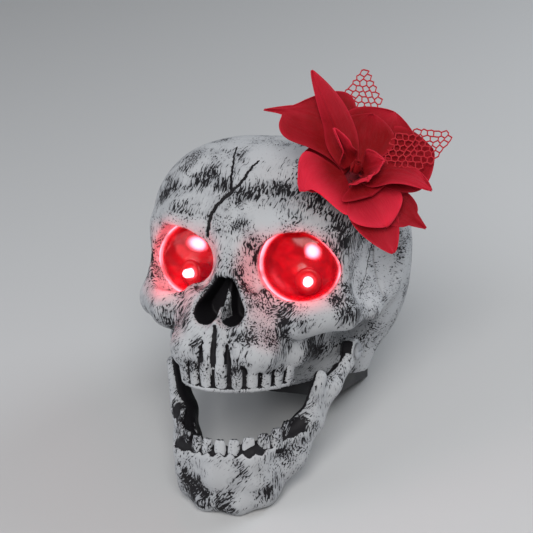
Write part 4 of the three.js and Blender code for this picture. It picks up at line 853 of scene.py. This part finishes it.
def bone_piece(name, field, box, step, body, node, inked=None):
    points, faces = refined(*skin(field, *box, step))
    dark, normal = shade(field, points)
    # Painted shade: the hollow measure darkens the wash in hollows and paints the deepest ones solid black.
    wash = np.clip(1.25 * dark - 0.15, 0, 1) + brush_and_shade_patches(points)
    ink = ramp(dark, 0.72, 0.95)
    if inked is not None:
        ink = np.maximum(ink, inked(points, normal))
    depth, crack = crack_depth(points)
    points = points - normal * depth[:, None]
    obj = add_mesh(name, points, faces, BONE, body, node)
    add_values(obj, wash=wash, ink=np.maximum(ink, crack), lay=stroke_lay(points))


def face_ink(p, _):
    """Black inside the mouth and the nose, in the grooves and between the teeth."""
    inside = ramp(arch_share(p, UPPER_ARCH), 0.93, 0.86) * ramp(p[:, 2], 34, 26) * ramp(p[:, 1], -28, -34)
    q = mirrored(p)
    nose = ramp(nose_pocket(q), 1.0, 0.3) * ramp(p[:, 1], -68, -63)
    nose = nose * np.maximum(ramp(q[:, 0], 1.4, 2.6), ramp(p[:, 1], -54, -48))
    groove = np.zeros(len(p))
    for *line, _ in GROOVES:
        groove = np.maximum(groove, ramp(bar(q, *line), 0.8, 0.0))
    plate = ramp(tooth_plate(q), 0.7, 0.3) * ramp(p[:, 2], 18.6, 19.6) * ramp(p[:, 2], 30, 28)
    return np.max([inside, nose, groove, plate], axis=0)


def jaw_ink(p, normal):
    """Black round the lower teeth and inside the jaw."""
    line = gum_line(p)
    gum = ramp(p[:, 2], line - 0.6, line + 0.4) * ramp(-p[:, 1], 34, 44)
    inward = ramp((normal[:, :2] * np.column_stack([p[:, 0], (p[:, 1] + 30)])).sum(axis=1), -4, -16)
    return np.maximum(gum, inward)


bone_piece("skull_face", face_field, FACE_BOX, BONE_STEP, "skull", "face_shell", face_ink)
bone_piece("skull_back", rear_field, REAR_BOX, BONE_STEP, "skull", "rear_shell")
bone_piece("jaw_bone", jaw_field, JAW_BOX, JAW_STEP, "jaw", "jaw", jaw_ink)


# Teeth

TOOTH_AROUND = 16
TOOTH_RINGS = 9
UPPER_TRIM = -0.9
LOWER_TRIM = 0.3


def flipped(faces, flip):
    return [f[::-1] for f in faces] if flip else faces


def tooth(width, height, thick, seed, lower):
    """Points and faces of a crown, with its cutting edge at z = 0 and its root at the given height."""
    points, faces = [], []
    for i in range(TOOTH_RINGS + 1):
        s = i / TOOTH_RINGS
        belly = 0.80 + 0.2 * math.sin(math.pi * min(1, 0.25 + 0.75 * (1 - s)))
        round_edge = min(1.0, 0.84 + 1.2 * s) if lower else min(1.0, 0.66 + 1.9 * s)
        broad = width / 2 * belly * (1 - 0.16 * s) * round_edge
        deep = thick / 2 * (0.5 + 0.5 * min(1, 1.5 * s))
        for j in range(TOOTH_AROUND):
            a = 2 * math.pi * j / TOOTH_AROUND
            x = broad * abs(math.cos(a)) ** 0.75 * math.copysign(1, math.cos(a))
            y = deep * abs(math.sin(a)) ** 0.8 * math.copysign(1, math.sin(a))
            chip = 0.35 * math.sin(3 * seed + 2.3 * x) * (1 - s) ** 2
            lift = 0.9 * (abs(x) / (width / 2)) ** 3 * (1 - s) ** 3
            points.append((x + 0.15 * math.sin(seed * 5 + 4 * s), y, height * s + chip + lift))
    last = TOOTH_RINGS * TOOTH_AROUND
    for low in range(0, last, TOOTH_AROUND):
        for j in range(TOOTH_AROUND):
            a, b = low + j, low + (j + 1) % TOOTH_AROUND
            faces.append((a, b, b + TOOTH_AROUND, a + TOOTH_AROUND))
    faces.append(tuple(reversed(range(TOOTH_AROUND))))
    faces.append(tuple(range(last, last + TOOTH_AROUND)))
    return np.array(points) * np.array([-1, 1, -1] if lower else [1, 1, 1]), faces


def tooth_row(name, arch, teeth, widths, body, node, lower):
    points, faces, wash, ink = [], [], [], []
    for side in (1, -1):
        for i, ((at, along, out), width) in enumerate(zip(teeth, widths)):
            seed = 1.7 * i + (0.4 if side > 0 else 2.2)
            trim = LOWER_TRIM if lower else UPPER_TRIM
            crown, quads = tooth(width + trim, arch["height"], arch["thick"], seed, lower)
            across = np.abs(crown[:, 0]) / (width / 2)
            up = np.abs(crown[:, 2]) / arch["height"]
            behind = ramp(crown[:, 1], 0.4, 1.8)
            middle = np.array([*at, arch["edge"]])
            ahead = np.array([*out, 0])
            if lower:
                ink.append(np.max([ramp(across, 0.88, 1.04), behind, ramp(up, 0.72, 0.86)], axis=0))
                plain = -0.1 if i < 3 else 0.35
                wash.append(np.full(len(crown), plain if side > 0 else 0.5))
                middle[2] += (at[1] - arch["back"] + arch["depth"]) * LOWER_SLOPE
                middle = middle + ahead * LOWER_OUT[i]
            else:
                ink.append(np.maximum(ramp(across, 0.62, 0.86), behind) * ramp(up, 0.06, 0.14))
                wash.append(0.3 * ramp(up, 0.5, 0.75) + 0.1)
            turned = crown @ np.array([[*along, 0], -ahead, [0, 0, 1]]) + middle
            start = sum(len(p) for p in points)
            faces += flipped([[start + k for k in quad] for quad in quads], side < 0)
            points.append(turned * np.array([side, 1, 1]))
    obj = add_mesh(name, np.concatenate(points), faces, BONE, body, node)
    add_values(obj, wash=np.concatenate(wash), ink=np.concatenate(ink))


tooth_row("upper_teeth", UPPER_ARCH, UPPER_TEETH, UPPER_WIDTHS, "skull", "face_shell", False)
tooth_row("lower_teeth", LOWER_ARCH, LOWER_TEETH, LOWER_WIDTHS, "jaw", "jaw", True)


# Eyes

def lathe(profile, radii, segments, outline=None):
    """Rings round the local y axis. Each profile point is (share of the radius, y)."""
    outline = np.ones(segments) if outline is None else outline
    angles = 2 * math.pi * np.arange(segments) / segments
    points, rings, faces = [], [], []
    for r, y in profile:
        start = len(points)
        if r < 1e-6:
            points.append((0, y, 0))
            rings.append([start] * segments)
            continue
        rings.append(range(start, start + segments))
        points += [(r * o * radii[0] * math.cos(a), y, r * o * radii[1] * math.sin(a))
                   for a, o in zip(angles, outline)]
    for low, high in zip(rings, rings[1:]):
        for j in range(segments):
            k = (j + 1) % segments
            faces.append(tuple(dict.fromkeys((high[j], high[k], low[k], low[j]))))
    return np.array(points, float), faces


def cup_floor():
    """How deep the cup's inner wall lies at the lamp."""
    radii = CUP_RADII - CUP_WALL
    return radii[1] * math.sqrt(1 - (LED_OUT / radii[0]) ** 2 - (LED_BELOW / radii[2]) ** 2)


EYE_SEGMENTS = 72


def eye_outline(side, radii, gap):
    """Share of the oval's radius at which the eye ends in each direction: at the oval or under the lid."""
    angles = np.arange(EYE_SEGMENTS) * 2 * math.pi / EYE_SEGMENTS
    ways = np.column_stack([radii[0] * np.cos(angles), np.zeros(EYE_SEGMENTS), radii[1] * np.sin(angles)])
    low, high = np.zeros(EYE_SEGMENTS), np.full(EYE_SEGMENTS, 1.4)
    for _ in range(30):
        middle = (low + high) / 2
        under = lid_height(ways * middle[:, None], side) < -gap
        low, high = np.where(under, middle, low), np.where(under, high, middle)
    return join(np.ones(EYE_SEGMENTS), low, 0.12)


# Where the painted reflection of the lamp sits in the cup of each eye, in the eye's frame
PAINTED_REFLECTION_AT = {1: (3.5, 5.0), -1: (-8.5, 6.5)}


def eye(side, word):
    def add(name, node, points, faces, material):
        name, node = f"{name}_{word}", f"{node}_{word}"
        return add_mesh(name, eye_points(points, side), faces, material, "skull", node)

    # Lens: a shallow dome with an edge
    rings = [i / 12 for i in range(13)]
    radii = CUP_RADII[[0, 2]] - 0.25
    outline = eye_outline(side, radii, SEAM_GAP)
    profile = [(r, 0) for r in rings] + [(r, LENS_THICKNESS) for r in reversed(rings)]
    points, faces = lathe(profile, radii, EYE_SEGMENTS, outline)
    whole = np.hypot(points[:, 0] / radii[0], points[:, 2] / radii[1])
    points[:, 1] += LENS_SEAT - LENS_THICKNESS - LENS_DOME * (1 - whole ** 2)
    share = np.concatenate([[r] * (1 if r == 0 else EYE_SEGMENTS) for r, _ in profile])
    # Painted glow: the lens's edge glow reaches further in towards its -x side.
    broad = 0.05 * np.maximum(0, -points[:, 0] / radii[0]) * share
    lens = add("lens", "eye_lens", points, faces, LENS)
    add_values(lens, rim=np.minimum(share + broad, 1))

    # Cup: a bowl behind the lens, open to the front
    wall = CUP_WALL / CUP_RADII[2]
    inner = [(r, 1) for r in np.sin(np.linspace(0, math.pi / 2, 18)) * (1 - wall)]
    outer = [(r, 1) for r in np.sin(np.linspace(math.pi / 2, 0, 18))]
    profile = inner + [(1 - wall, 0), (1, 0)] + outer
    outline = eye_outline(side, CUP_RADII[[0, 2]], SEAM_GAP)
    points, faces = lathe(profile, CUP_RADII[[0, 2]], EYE_SEGMENTS, outline)
    whole = np.hypot(points[:, 0] / CUP_RADII[0], points[:, 2] / CUP_RADII[2])
    inside = np.arange(len(points)) < 1 + (len(inner) - 1) * EYE_SEGMENTS
    deep = CUP_RADII[1] - CUP_WALL * inside
    edge = 1 - wall * inside
    front = LENS_SEAT + CLEARANCE
    bowl = np.maximum(front, deep * np.sqrt(np.maximum(0, 1 - (whole / edge) ** 2)))
    points[:, 1] = np.where(points[:, 1] > 0.5, bowl, front)
    x, z = PAINTED_REFLECTION_AT[side]
    # Painted reflection: an emitting spot on the cup's inner wall where the lamp would mirror itself.
    glow = ramp(np.hypot(points[:, 0] - x, points[:, 2] - z), 5.2, 1.8)
    cup = add("cup", "eye_cup", points, faces, CUP)
    add_values(cup, glow=glow * inside)

    # Lamp: a domed cylinder with a flange, standing forward in its holder
    tip, back = LED_TIP_Y, LED_TIP_Y + LED_LENGTH
    at_lamp = np.array([side * LED_OUT, 0, -LED_BELOW])
    dome = [(math.sin(a), tip + LED_RADIUS * (1 - math.cos(a))) for a in np.linspace(0, math.pi / 2, 9)]
    profile = dome + [(1, back - 1.6), (1.1, back - 1.4), (1.1, back - 0.2), (1.0, back), (0, back)]
    points, faces = lathe(profile, (LED_RADIUS, LED_RADIUS), 32)
    add("lamp", "led", points + at_lamp, faces, LAMP)

    # Holder: a chamfered disc that the lamp stands in, on a neck
    front, floor = LED_TIP_Y + LED_SHOWN, cup_floor()
    hole, neck = (LED_RADIUS + CLEARANCE) / HOLDER_RADIUS, NECK_RADIUS / HOLDER_RADIUS
    profile = [(hole, floor), (hole, front + 0.5), (hole + 0.06, front), (0.82, front), (0.95, front + 0.35),
               (1.0, front + 0.9), (1.0, front + 2.0), (neck, front + 2.0), (neck, floor), (hole, floor)]
    points, faces = lathe(profile, (HOLDER_RADIUS, HOLDER_RADIUS), 40)
    add("lamp_holder", "led_holder", points + at_lamp, faces, HOLDER)


# Hinge screws with a cross slot

HEAD_X = 55.7
HEAD_RADIUS = 4.5
HEAD_HEIGHT = 2.6
HEAD_RINGS = 10
SLOT_DEPTH = 0.9
SLOT_REACH = 3.0
SLOT_EDGE = (0.75, 0.45)
SHANK_RADIUS = 2.0
SHANK_END = 35.2
SHANK_TIP = 0.6


def hinge_screw(side, word):
    shares = [i / HEAD_RINGS for i in range(HEAD_RINGS + 1)]
    head = [(r, HEAD_X + HEAD_HEIGHT * (1 - 0.55 * r ** 3)) for r in shares]
    shank, tip = SHANK_RADIUS / HEAD_RADIUS, SHANK_TIP / HEAD_RADIUS
    profile = head + [(1, HEAD_X), (shank, HEAD_X), (shank, SHANK_END + 2), (tip, SHANK_END), (0, SHANK_END)]
    points, faces = lathe(profile, (HEAD_RADIUS, HEAD_RADIUS), 48)
    y, x, z = points.T
    level = ramp(np.abs(y), *SLOT_EDGE) * (np.abs(z) < SLOT_REACH)
    upright = ramp(np.abs(z), *SLOT_EDGE) * (np.abs(y) < SLOT_REACH)
    x = x - SLOT_DEPTH * np.maximum(level, upright) * (x > HEAD_X)
    points = np.column_stack([side * x, y + HINGE[1], z + HINGE[2]])
    faces = flipped(faces, side < 0)
    add_mesh(f"jaw_screw_{word}", points, faces, DARK_SCREW, "skull", f"hinge_screw_{word}")


SIDES = ((1, "left"), (-1, "right"))
for side, word in SIDES:
    eye(side, word)
for side, word in SIDES:
    hinge_screw(side, word)


# Flower

FLOWER_TOWARDS = np.array([47.0, -14.0, 116.0])
FLOWER_AXIS = np.array([0.42, -0.72, 0.55])
FLOWER_ACROSS = np.array([0.91, 0.41, 0.0])
PAD_HEIGHT = 8.0
FLANGE_HEIGHT = 1.6
LAYER_STEP = 2.2
LAYER_RING = 12.0
FABRIC = 0.8
CLOTH = 0.4
PETAL_ROOT = 7.0
PETAL_TIP = 1.2
TAIL_HALF = 4.2
# Petals by layer. Sway and lean move the tip and the middle sideways, skew makes the left side shorter, fold
# turns down the left and right halves, tail and blunt shape the end, and the paleness value is painted light:
# how much paler the cloth is painted on that petal.
LAYERS = (
    {"lift": -6, "fullness": 0.85, "petals": (
        {"azimuth": 297, "length": 41.5, "width": 21, "tone": 0.3},
        {"azimuth": 326, "length": 42, "width": 19, "tail": 0.25, "tone": 0.2},
        {"azimuth": 158, "length": 26, "width": 30, "fullness": 1.2})},
    {"lift": 10, "fullness": 1.4, "petals": (
        {"azimuth": 134, "length": 53, "width": 36, "fullness": 1.7, "tail": 0.2, "sway": 12, "lean": -11,
         "crinkle": 1},
        {"azimuth": 18, "length": 40, "width": 36},
        {"azimuth": 58, "length": 38, "width": 40},
        {"azimuth": 202, "length": 20, "width": 37, "lift": 14, "curl": -0.25, "blunt": 0.72, "skew": 0.32,
         "tone": 0.95},
        {"azimuth": 300, "length": 28, "width": 28, "lift": 14, "curl": -0.25, "blunt": 0.5, "tone": 0.85})},
    {"lift": 24, "fullness": 0.9, "petals": (
        {"azimuth": 117, "length": 54.5, "width": 15, "fold": (62, 14), "lean": -2, "tone": 0.4},
        {"azimuth": 349, "length": 38.5, "width": 19, "fold": (42, -25), "sway": -8, "lean": 4, "frill": 0.5,
         "tone": 0.35},
        {"azimuth": 300, "length": 12, "width": 26, "lift": 14, "fullness": 1.5, "tone": 0.0},
        {"azimuth": 74, "length": 31, "width": 28, "lift": 12, "curl": -0.06, "fullness": 1.4, "tone": 0.0})},
    {"lift": 44, "fullness": 1.3, "petals": (
        {"azimuth": 12, "length": 13, "width": 14, "lift": 38, "fold": (-30, -30), "frill": 0.9, "tone": 0.5},
        {"azimuth": 124, "length": 22, "width": 12, "lift": 34, "fold": (-66, -74), "frill": 0.3,
         "tone": 0.7},
        {"azimuth": 300, "length": 11, "width": 14, "lift": 58, "blunt": 0.6, "frill": 0.9, "tone": 0.5})},
)
PLAIN_PETAL = {"curl": 0.0, "sway": 0.0, "lean": 0.0, "fold": (0, 0), "tail": 0.0, "blunt": 0.0, "frill": 0.0,
               "skew": 0.0, "crinkle": 0.0, "tone": 0.1}


def flower_frame():
    axis = FLOWER_AXIS / np.linalg.norm(FLOWER_AXIS)
    across = FLOWER_ACROSS - axis * (FLOWER_ACROSS @ axis)
    across /= np.linalg.norm(across)
    turn = np.column_stack([across, np.cross(axis, across), axis])
    start = np.array([0, 0, EYE_AT[2]])
    way = (FLOWER_TOWARDS - start) / np.linalg.norm(FLOWER_TOWARDS - start)
    low, high = 0.0, 320.0
    for _ in range(40):
        middle = (low + high) / 2
        if cranium((start + way * middle)[None])[0] < 0:
            low = middle
        else:
            high = middle
    return turn, start + way * low


FLOWER_TURN, FLOWER_PLACE = flower_frame()


def flower_points(local):
    return np.asarray(local, float) @ FLOWER_TURN.T + FLOWER_PLACE


def layer_low(i):
    return PAD_HEIGHT + CLEARANCE + FLANGE_HEIGHT + CLEARANCE + i * LAYER_STEP


def petal_surface(u, v, form, low):
    """Points of a petal's middle surface, with u from root to tip and v from -1 to 1 across."""
    azimuth, length = form["azimuth"], form["length"]
    turn, lift = math.radians(azimuth), math.radians(form["lift"])
    run = u * length * (1 - form["skew"] * v)
    blade = np.minimum(u / (1 - 0.8 * form["tail"]), 1)
    swell = np.maximum(np.sin(math.pi * blade ** form["fullness"]), 0) ** 0.75
    swell = np.maximum(swell, form["blunt"] * ramp(u, 0.3, 0.7) * np.sqrt(np.maximum(1 - u ** 5, 0)))
    half = form["width"] / 2 * swell + PETAL_ROOT / 2 * (1 - u) + PETAL_TIP / 2 * u
    if form["tail"]:
        half = half + TAIL_HALF * np.clip((1 - u) / form["tail"], 0, 1) ** 0.8 * ramp(u, 0.4, 0.8)
    left, right = [math.radians(angle) for angle in form["fold"]]
    settle = ramp(u, 0.05, 0.5)
    slope = np.where(v > 0, left, right) * settle * ramp(np.abs(v), 0.0, 0.25)
    across = v * half * np.cos(slope) + form["sway"] * u ** 3 + form["lean"] * np.sin(math.pi * u)
    bend = form["curl"] * u ** 2 * length - np.abs(v) * half * np.sin(slope)
    bend = bend + 0.11 * v ** 2 * half * u + 0.8 * np.sin(5 * v + azimuth) * u ** 2 * (1 - form["tail"])
    bend = bend + 0.5 * np.sin(11 * v + 7 * u + azimuth) * u ** 2 * np.abs(v) ** 2
    bend = bend - 0.9 * np.exp(-(v / 0.12) ** 2) * u * (1 - u)
    edge = np.maximum(np.abs(v), u) ** 5
    frill = np.sin(15 * v + 9 * u + azimuth) + 0.5 * np.sin(25 * v - 19 * u)
    bend = bend + 0.7 * form["frill"] * edge * frill
    wave = np.sin(30 * u + 5 * v + 2 * np.sin(9 * v)) + np.sin(19 * u - 11 * v + azimuth)
    bend = bend + 0.16 * form["crinkle"] * wave * np.sin(math.pi * u) * (1 - v ** 2)
    out = LAYER_RING / 2 - 1.6 + run * math.cos(lift) - bend * math.sin(lift)
    up = low + FABRIC / 2 + run * math.sin(lift) + bend * math.cos(lift)
    c, s = math.cos(turn), math.sin(turn)
    return np.stack([out * c - across * s, out * s + across * c, up], axis=-1)


def cloth_grid(name, points, spots, rows, columns, tone, node):
    """A thin piece of cloth from a grid of points, with its places on the flat cloth. Also gives its area."""
    step = columns + 1
    starts = [p * step + q for p in range(rows) for q in range(columns)]
    faces = [(a, a + step, a + step + 1, a + 1) for a in starts]
    obj = add_mesh(name, flower_points(points), faces, PETAL, "skull", node)
    corners = np.zeros(len(obj.data.loops), np.int32)
    obj.data.loops.foreach_get("vertex_index", corners)
    flat = obj.data.uv_layers.new(name="petal")
    flat.data.foreach_set("uv", spots[corners].astype(np.float32).ravel())
    add_values(obj, tone=tone)
    thick = obj.modifiers.new("cloth", "SOLIDIFY")
    thick.thickness = CLOTH * MM
    thick.offset = 0
    return obj, sum(f.area for f in obj.data.polygons)


def petal(i, k, form):
    rows, columns = 60, 48
    u, v = np.meshgrid(np.linspace(0, 1, rows + 1), np.linspace(-1, 1, columns + 1), indexing="ij")
    points = petal_surface(u, v, form, layer_low(i)).reshape(-1, 3)
    spots = np.column_stack([u.ravel(), (v.ravel() + 1) / 2])
    # Painted light: paler towards the tip by the petal's amount, and a painted highlight along its edges.
    tone = form["tone"] * ramp(u, 0.15, 0.9) + 0.35 * np.maximum(np.abs(v), u) ** 8
    name, node = f"petal_{i + 1}_{k + 1}", f"petal_layer_{i + 1}"
    obj, area = cloth_grid(name, points, spots, rows, columns, tone.ravel(), node)


for i, layer in enumerate(LAYERS):
    for k, own in enumerate(layer["petals"]):
        petal(i, k, {**PLAIN_PETAL, **layer, **own})

# Bud: a strip of cloth rolled into a narrow cone
BUD_HEIGHT = 10.0
BUD_WIDTH = 6.0
BUD_CORE = 0.6
BUD_TURNS = 2.6


def bud():
    rows, columns = 90, 12
    low = layer_low(len(LAYERS)) + CLEARANCE
    s, h = np.meshgrid(np.linspace(0, 1, rows + 1), np.linspace(0, 1, columns + 1), indexing="ij")
    angle = s * 2 * math.pi * BUD_TURNS
    belly = 0.55 + 0.5 * np.sin(math.pi * np.minimum(1, 0.2 + 0.75 * h))
    r = (BUD_CORE + (BUD_WIDTH / 2 - BUD_CORE) * s) * belly * (1 + 0.12 * h * h * s)
    top = BUD_HEIGHT * (1 - 0.22 * s) + 0.5 * np.sin(6 * angle) * s
    points = np.stack([r * np.cos(angle), r * np.sin(angle), low + top * h], axis=-1).reshape(-1, 3)
    spots = np.column_stack([h.ravel(), 0.5 + 0.3 * s.ravel()])
    obj, area = cloth_grid("bud", points, spots, rows, columns, np.zeros(len(points)), "flower_bud")


bud()

# Net wings: hexagonal net of thin strands. Each is (word, azimuth, length, width, level, lift).
NET_PITCH = 3.6
NET_STRAND = 0.6
NET_WINGS = (("top", 84, 58, 25, 1, 7), ("right", 21, 47, 26, 2, 16))
NET_ROOT = 4.0
NET_CLAMP = 2.0
NET_FULLNESS = 0.96
NET_THICKNESS = 0.6
NET_JITTER = 0.36
NET_OVERLAP = 0.1


def net_wing(word, azimuth, length, width, level, lift):
    root = LAYER_RING / 2 - NET_CLAMP

    def half_at(y):
        t = (y - root) / length
        share = max(0.0, math.sin(math.pi * NET_FULLNESS * t)) * (1.12 - 0.4 * t)
        return NET_ROOT / 2 + (width - NET_ROOT) / 2 * share

    def settled(x, y):
        out = max(0.0, y - root - NET_CLAMP)
        wave = out / length * math.sin(x / 4)
        dx = NET_JITTER * (math.sin(2.1 * x + 1.3 * y) + 0.7 * math.sin(0.9 * y - 1.4 * x))
        dy = NET_JITTER * (math.sin(1.7 * y - 2.3 * x) + 0.7 * math.sin(1.1 * x + 0.6 * y))
        low = layer_low(level) - NET_THICKNESS / 2 - CLEARANCE
        return np.array([x + dx, y + dy, low + out * math.tan(math.radians(lift)) + wave])

    reach = NET_PITCH / math.sqrt(3)
    row_step = NET_PITCH * math.sqrt(3) / 2
    edges, spots = set(), {}

    def corner(x, y, k):
        """Key of one corner of the mesh cell at x, y."""
        angle = (k + 0.5) * math.pi / 3
        x, y = x + reach * math.cos(angle), y + reach * math.sin(angle)
        key = (round(x * 50), round(y * 50))
        spots.setdefault(key, (x, y))
        return key

    for row in range(int(length / row_step) + 2):
        y = root + row * row_step
        for column in range(-14, 15):
            x = (column + (row % 2) / 2) * NET_PITCH
            if y > root + length or abs(x) > half_at(min(y, root + length)) - 0.2:
                continue
            ring = [corner(x, y, k) for k in range(6)]
            for k in range(6):
                edges.add(tuple(sorted((ring[k], ring[(k + 1) % 6]))))
    points, faces = [], []
    for a, b in sorted(edges):
        p, q = settled(*spots[a]), settled(*spots[b])
        way = (q - p) / np.linalg.norm(q - p)
        side = np.cross(way, (0, 0, 1))
        side /= np.linalg.norm(side)
        up = np.cross(side, way)
        start = len(points)
        for end, shift in ((p, -NET_OVERLAP), (q, NET_OVERLAP)):
            for m, n in ((1, 1), (-1, 1), (-1, -1), (1, -1)):
                points.append(end + way * shift + (side * m + up * n * 0.8) * NET_STRAND / 2)
        for k in range(4):
            j = (k + 1) % 4
            faces.append((start + 4 + k, start + 4 + j, start + j, start + k))
        faces += [(start, start + 1, start + 2, start + 3), (start + 7, start + 6, start + 5, start + 4)]
    turn = math.radians(azimuth - 90)
    c, s = math.cos(turn), math.sin(turn)
    points = flower_points(np.array(points) @ np.array([[c, s, 0], [-s, c, 0], [0, 0, 1]]))
    obj = add_mesh(f"netting_{word}", points, faces, NET, "skull", f"net_{word}", smooth=False)
    area = sum(f.area for f in obj.data.polygons) / 2
    flat = (width * MM, length * MM)
    whole = flat[0] * flat[1]
    area = min(max(area, 0.3 * whole), whole)


for wing in NET_WINGS:
    net_wing(*wing)


# Pieces that keep their solids

KEPT = {
    "base_housing": BLACK, "battery_door": BLACK, "switch_body": BLACK, "switch_knob": BLACK,
    "hinge_washer_left": BLACK, "hinge_washer_right": BLACK, "battery_door_screw": STEEL,
    "circuit_board": BOARD, "led_lead_left": SLEEVE, "led_lead_right": SLEEVE,
    "flower_pad": FELT, "flower_peg": FELT,
}
KEPT.update({f"base_screw_{i}": STEEL for i in range(1, 5)})
KEPT.update({f"contact_{i}": STEEL for i in range(1, 5)})
KEPT.update({f"battery_spring_{i}": STEEL for i in range(1, 4)})
KEPT.update({f"battery_{i}": JACKET for i in range(1, 4)})
BEVELLED = {"base_housing": 0.5, "battery_door": 0.35, "switch_knob": 0.3, "switch_body": 0.25,
            "circuit_board": 0.2}
for name, material in KEPT.items():
    node = frame["nodes"][name]
    paint(node, material)
    if name in BEVELLED:
        edge = node.modifiers.new("soft_edge", "BEVEL")
        edge.width = BEVELLED[name] * MM
        edge.segments = 2
        edge.limit_method = "ANGLE"
        edge.angle_limit = math.radians(40)


# Stage: floor, light and camera

FLOOR_REACH = 6.0
GLOW_SIZE = 0.006
GLOW_WATTS = 0.03
GLOW_COLOUR = (1.0, 0.04, 0.07)
GLOW_AT = (0, -20, 0)
WORLD_COLOUR = (0.85, 0.88, 0.92, 1)
WORLD_STRENGTH = 0.27
CAMERA_TURN = math.radians(24)
CAMERA_RISE = math.radians(10)
CAMERA_AIM = np.array([0, 0, 60])
CAMERA_DISTANCE = 900.0
# In pixels of the photograph: its side, the length of the lens and where the aim lies
PICTURE = 533.0
FOCAL = 1602.0
AIM_X, AIM_Y = 268, 290


def add_floor():
    mesh = bpy.data.meshes.new("floor")
    corners = [(x * FLOOR_REACH, y * FLOOR_REACH, 0) for x, y in ((-1, -1), (1, -1), (1, 1), (-1, 1))]
    mesh.from_pydata(corners, [], [(0, 1, 2, 3)])
    floor = bpy.data.objects.new("floor", mesh)
    show(floor)
    pale = Surface("pale_floor")
    pale.shade(Base_Color=(0.55, 0.55, 0.55, 1), Roughness=0.85)
    paint(floor, pale.material)


def add_light(name, kind, place, watts, colour):
    data = bpy.data.lights.new(name, kind)
    data.energy = watts
    data.color = colour
    lamp = bpy.data.objects.new(name, data)
    lamp.location = place
    show(lamp)
    return lamp


def add_area(name, place, aim, size, watts, colour):
    lamp = add_light(name, "AREA", place, watts, colour)
    lamp.data.shape = "DISK"
    lamp.data.size = size
    lamp.rotation_euler = (Vector(aim) - Vector(place)).to_track_quat("-Z", "Y").to_euler()


def add_glow(side, word):
    """The lit eye's own red light on what is round it."""
    place = to_world(eye_points([GLOW_AT], side))[0]
    glow = add_light(f"eye_glow_{word}", "POINT", place, GLOW_WATTS, GLOW_COLOUR)
    glow.data.shadow_soft_size = GLOW_SIZE
    glow.visible_glossy = False


def add_world():
    world = bpy.data.worlds.new("studio")
    world.use_nodes = True
    back = world.node_tree.nodes["Background"]
    back.inputs["Color"].default_value = WORLD_COLOUR
    back.inputs["Strength"].default_value = WORLD_STRENGTH
    bpy.context.scene.world = world


def add_camera():
    """The photograph's view: to the skull's left of its face and above it, in the skull's frame."""
    c, s = math.cos(CAMERA_TURN), math.sin(CAMERA_TURN)
    back = np.array([s * math.cos(CAMERA_RISE), -c * math.cos(CAMERA_RISE), math.sin(CAMERA_RISE)])
    right = np.array([c, s, 0])
    up = np.cross(back, right)
    place = to_world([CAMERA_AIM + back * CAMERA_DISTANCE])[0]
    columns = [TILT @ right, TILT @ up, TILT @ back]
    data = bpy.data.cameras.new("camera")
    data.sensor_width = 36
    data.lens = FOCAL / PICTURE * data.sensor_width
    data.shift_x = (PICTURE / 2 - AIM_X) / PICTURE
    data.shift_y = (AIM_Y - PICTURE / 2) / PICTURE
    data.clip_start = 0.01
    camera = bpy.data.objects.new("camera", data)
    rows = [[*(col[i] for col in columns), place[i]] for i in range(3)]
    camera.matrix_world = Matrix(rows + [[0, 0, 0, 1]])
    show(camera)
    bpy.context.scene.camera = camera


add_floor()
add_world()
add_area("key", (0.35, -0.75, 1.0), (-0.02, -0.02, 0.1), 0.7, 9.5, (1.0, 0.98, 0.96))
add_area("fill", (-0.9, -0.5, 0.55), (-0.02, 0, 0.1), 0.9, 4, (0.9, 0.94, 1.0))
add_area("rim", (0.7, 0.7, 0.7), (0, 0.02, 0.12), 0.7, 6, (0.88, 0.94, 1.0))
for side, word in SIDES:
    add_glow(side, word)
add_camera()
bpy.context.scene.view_settings.view_transform = "Standard"
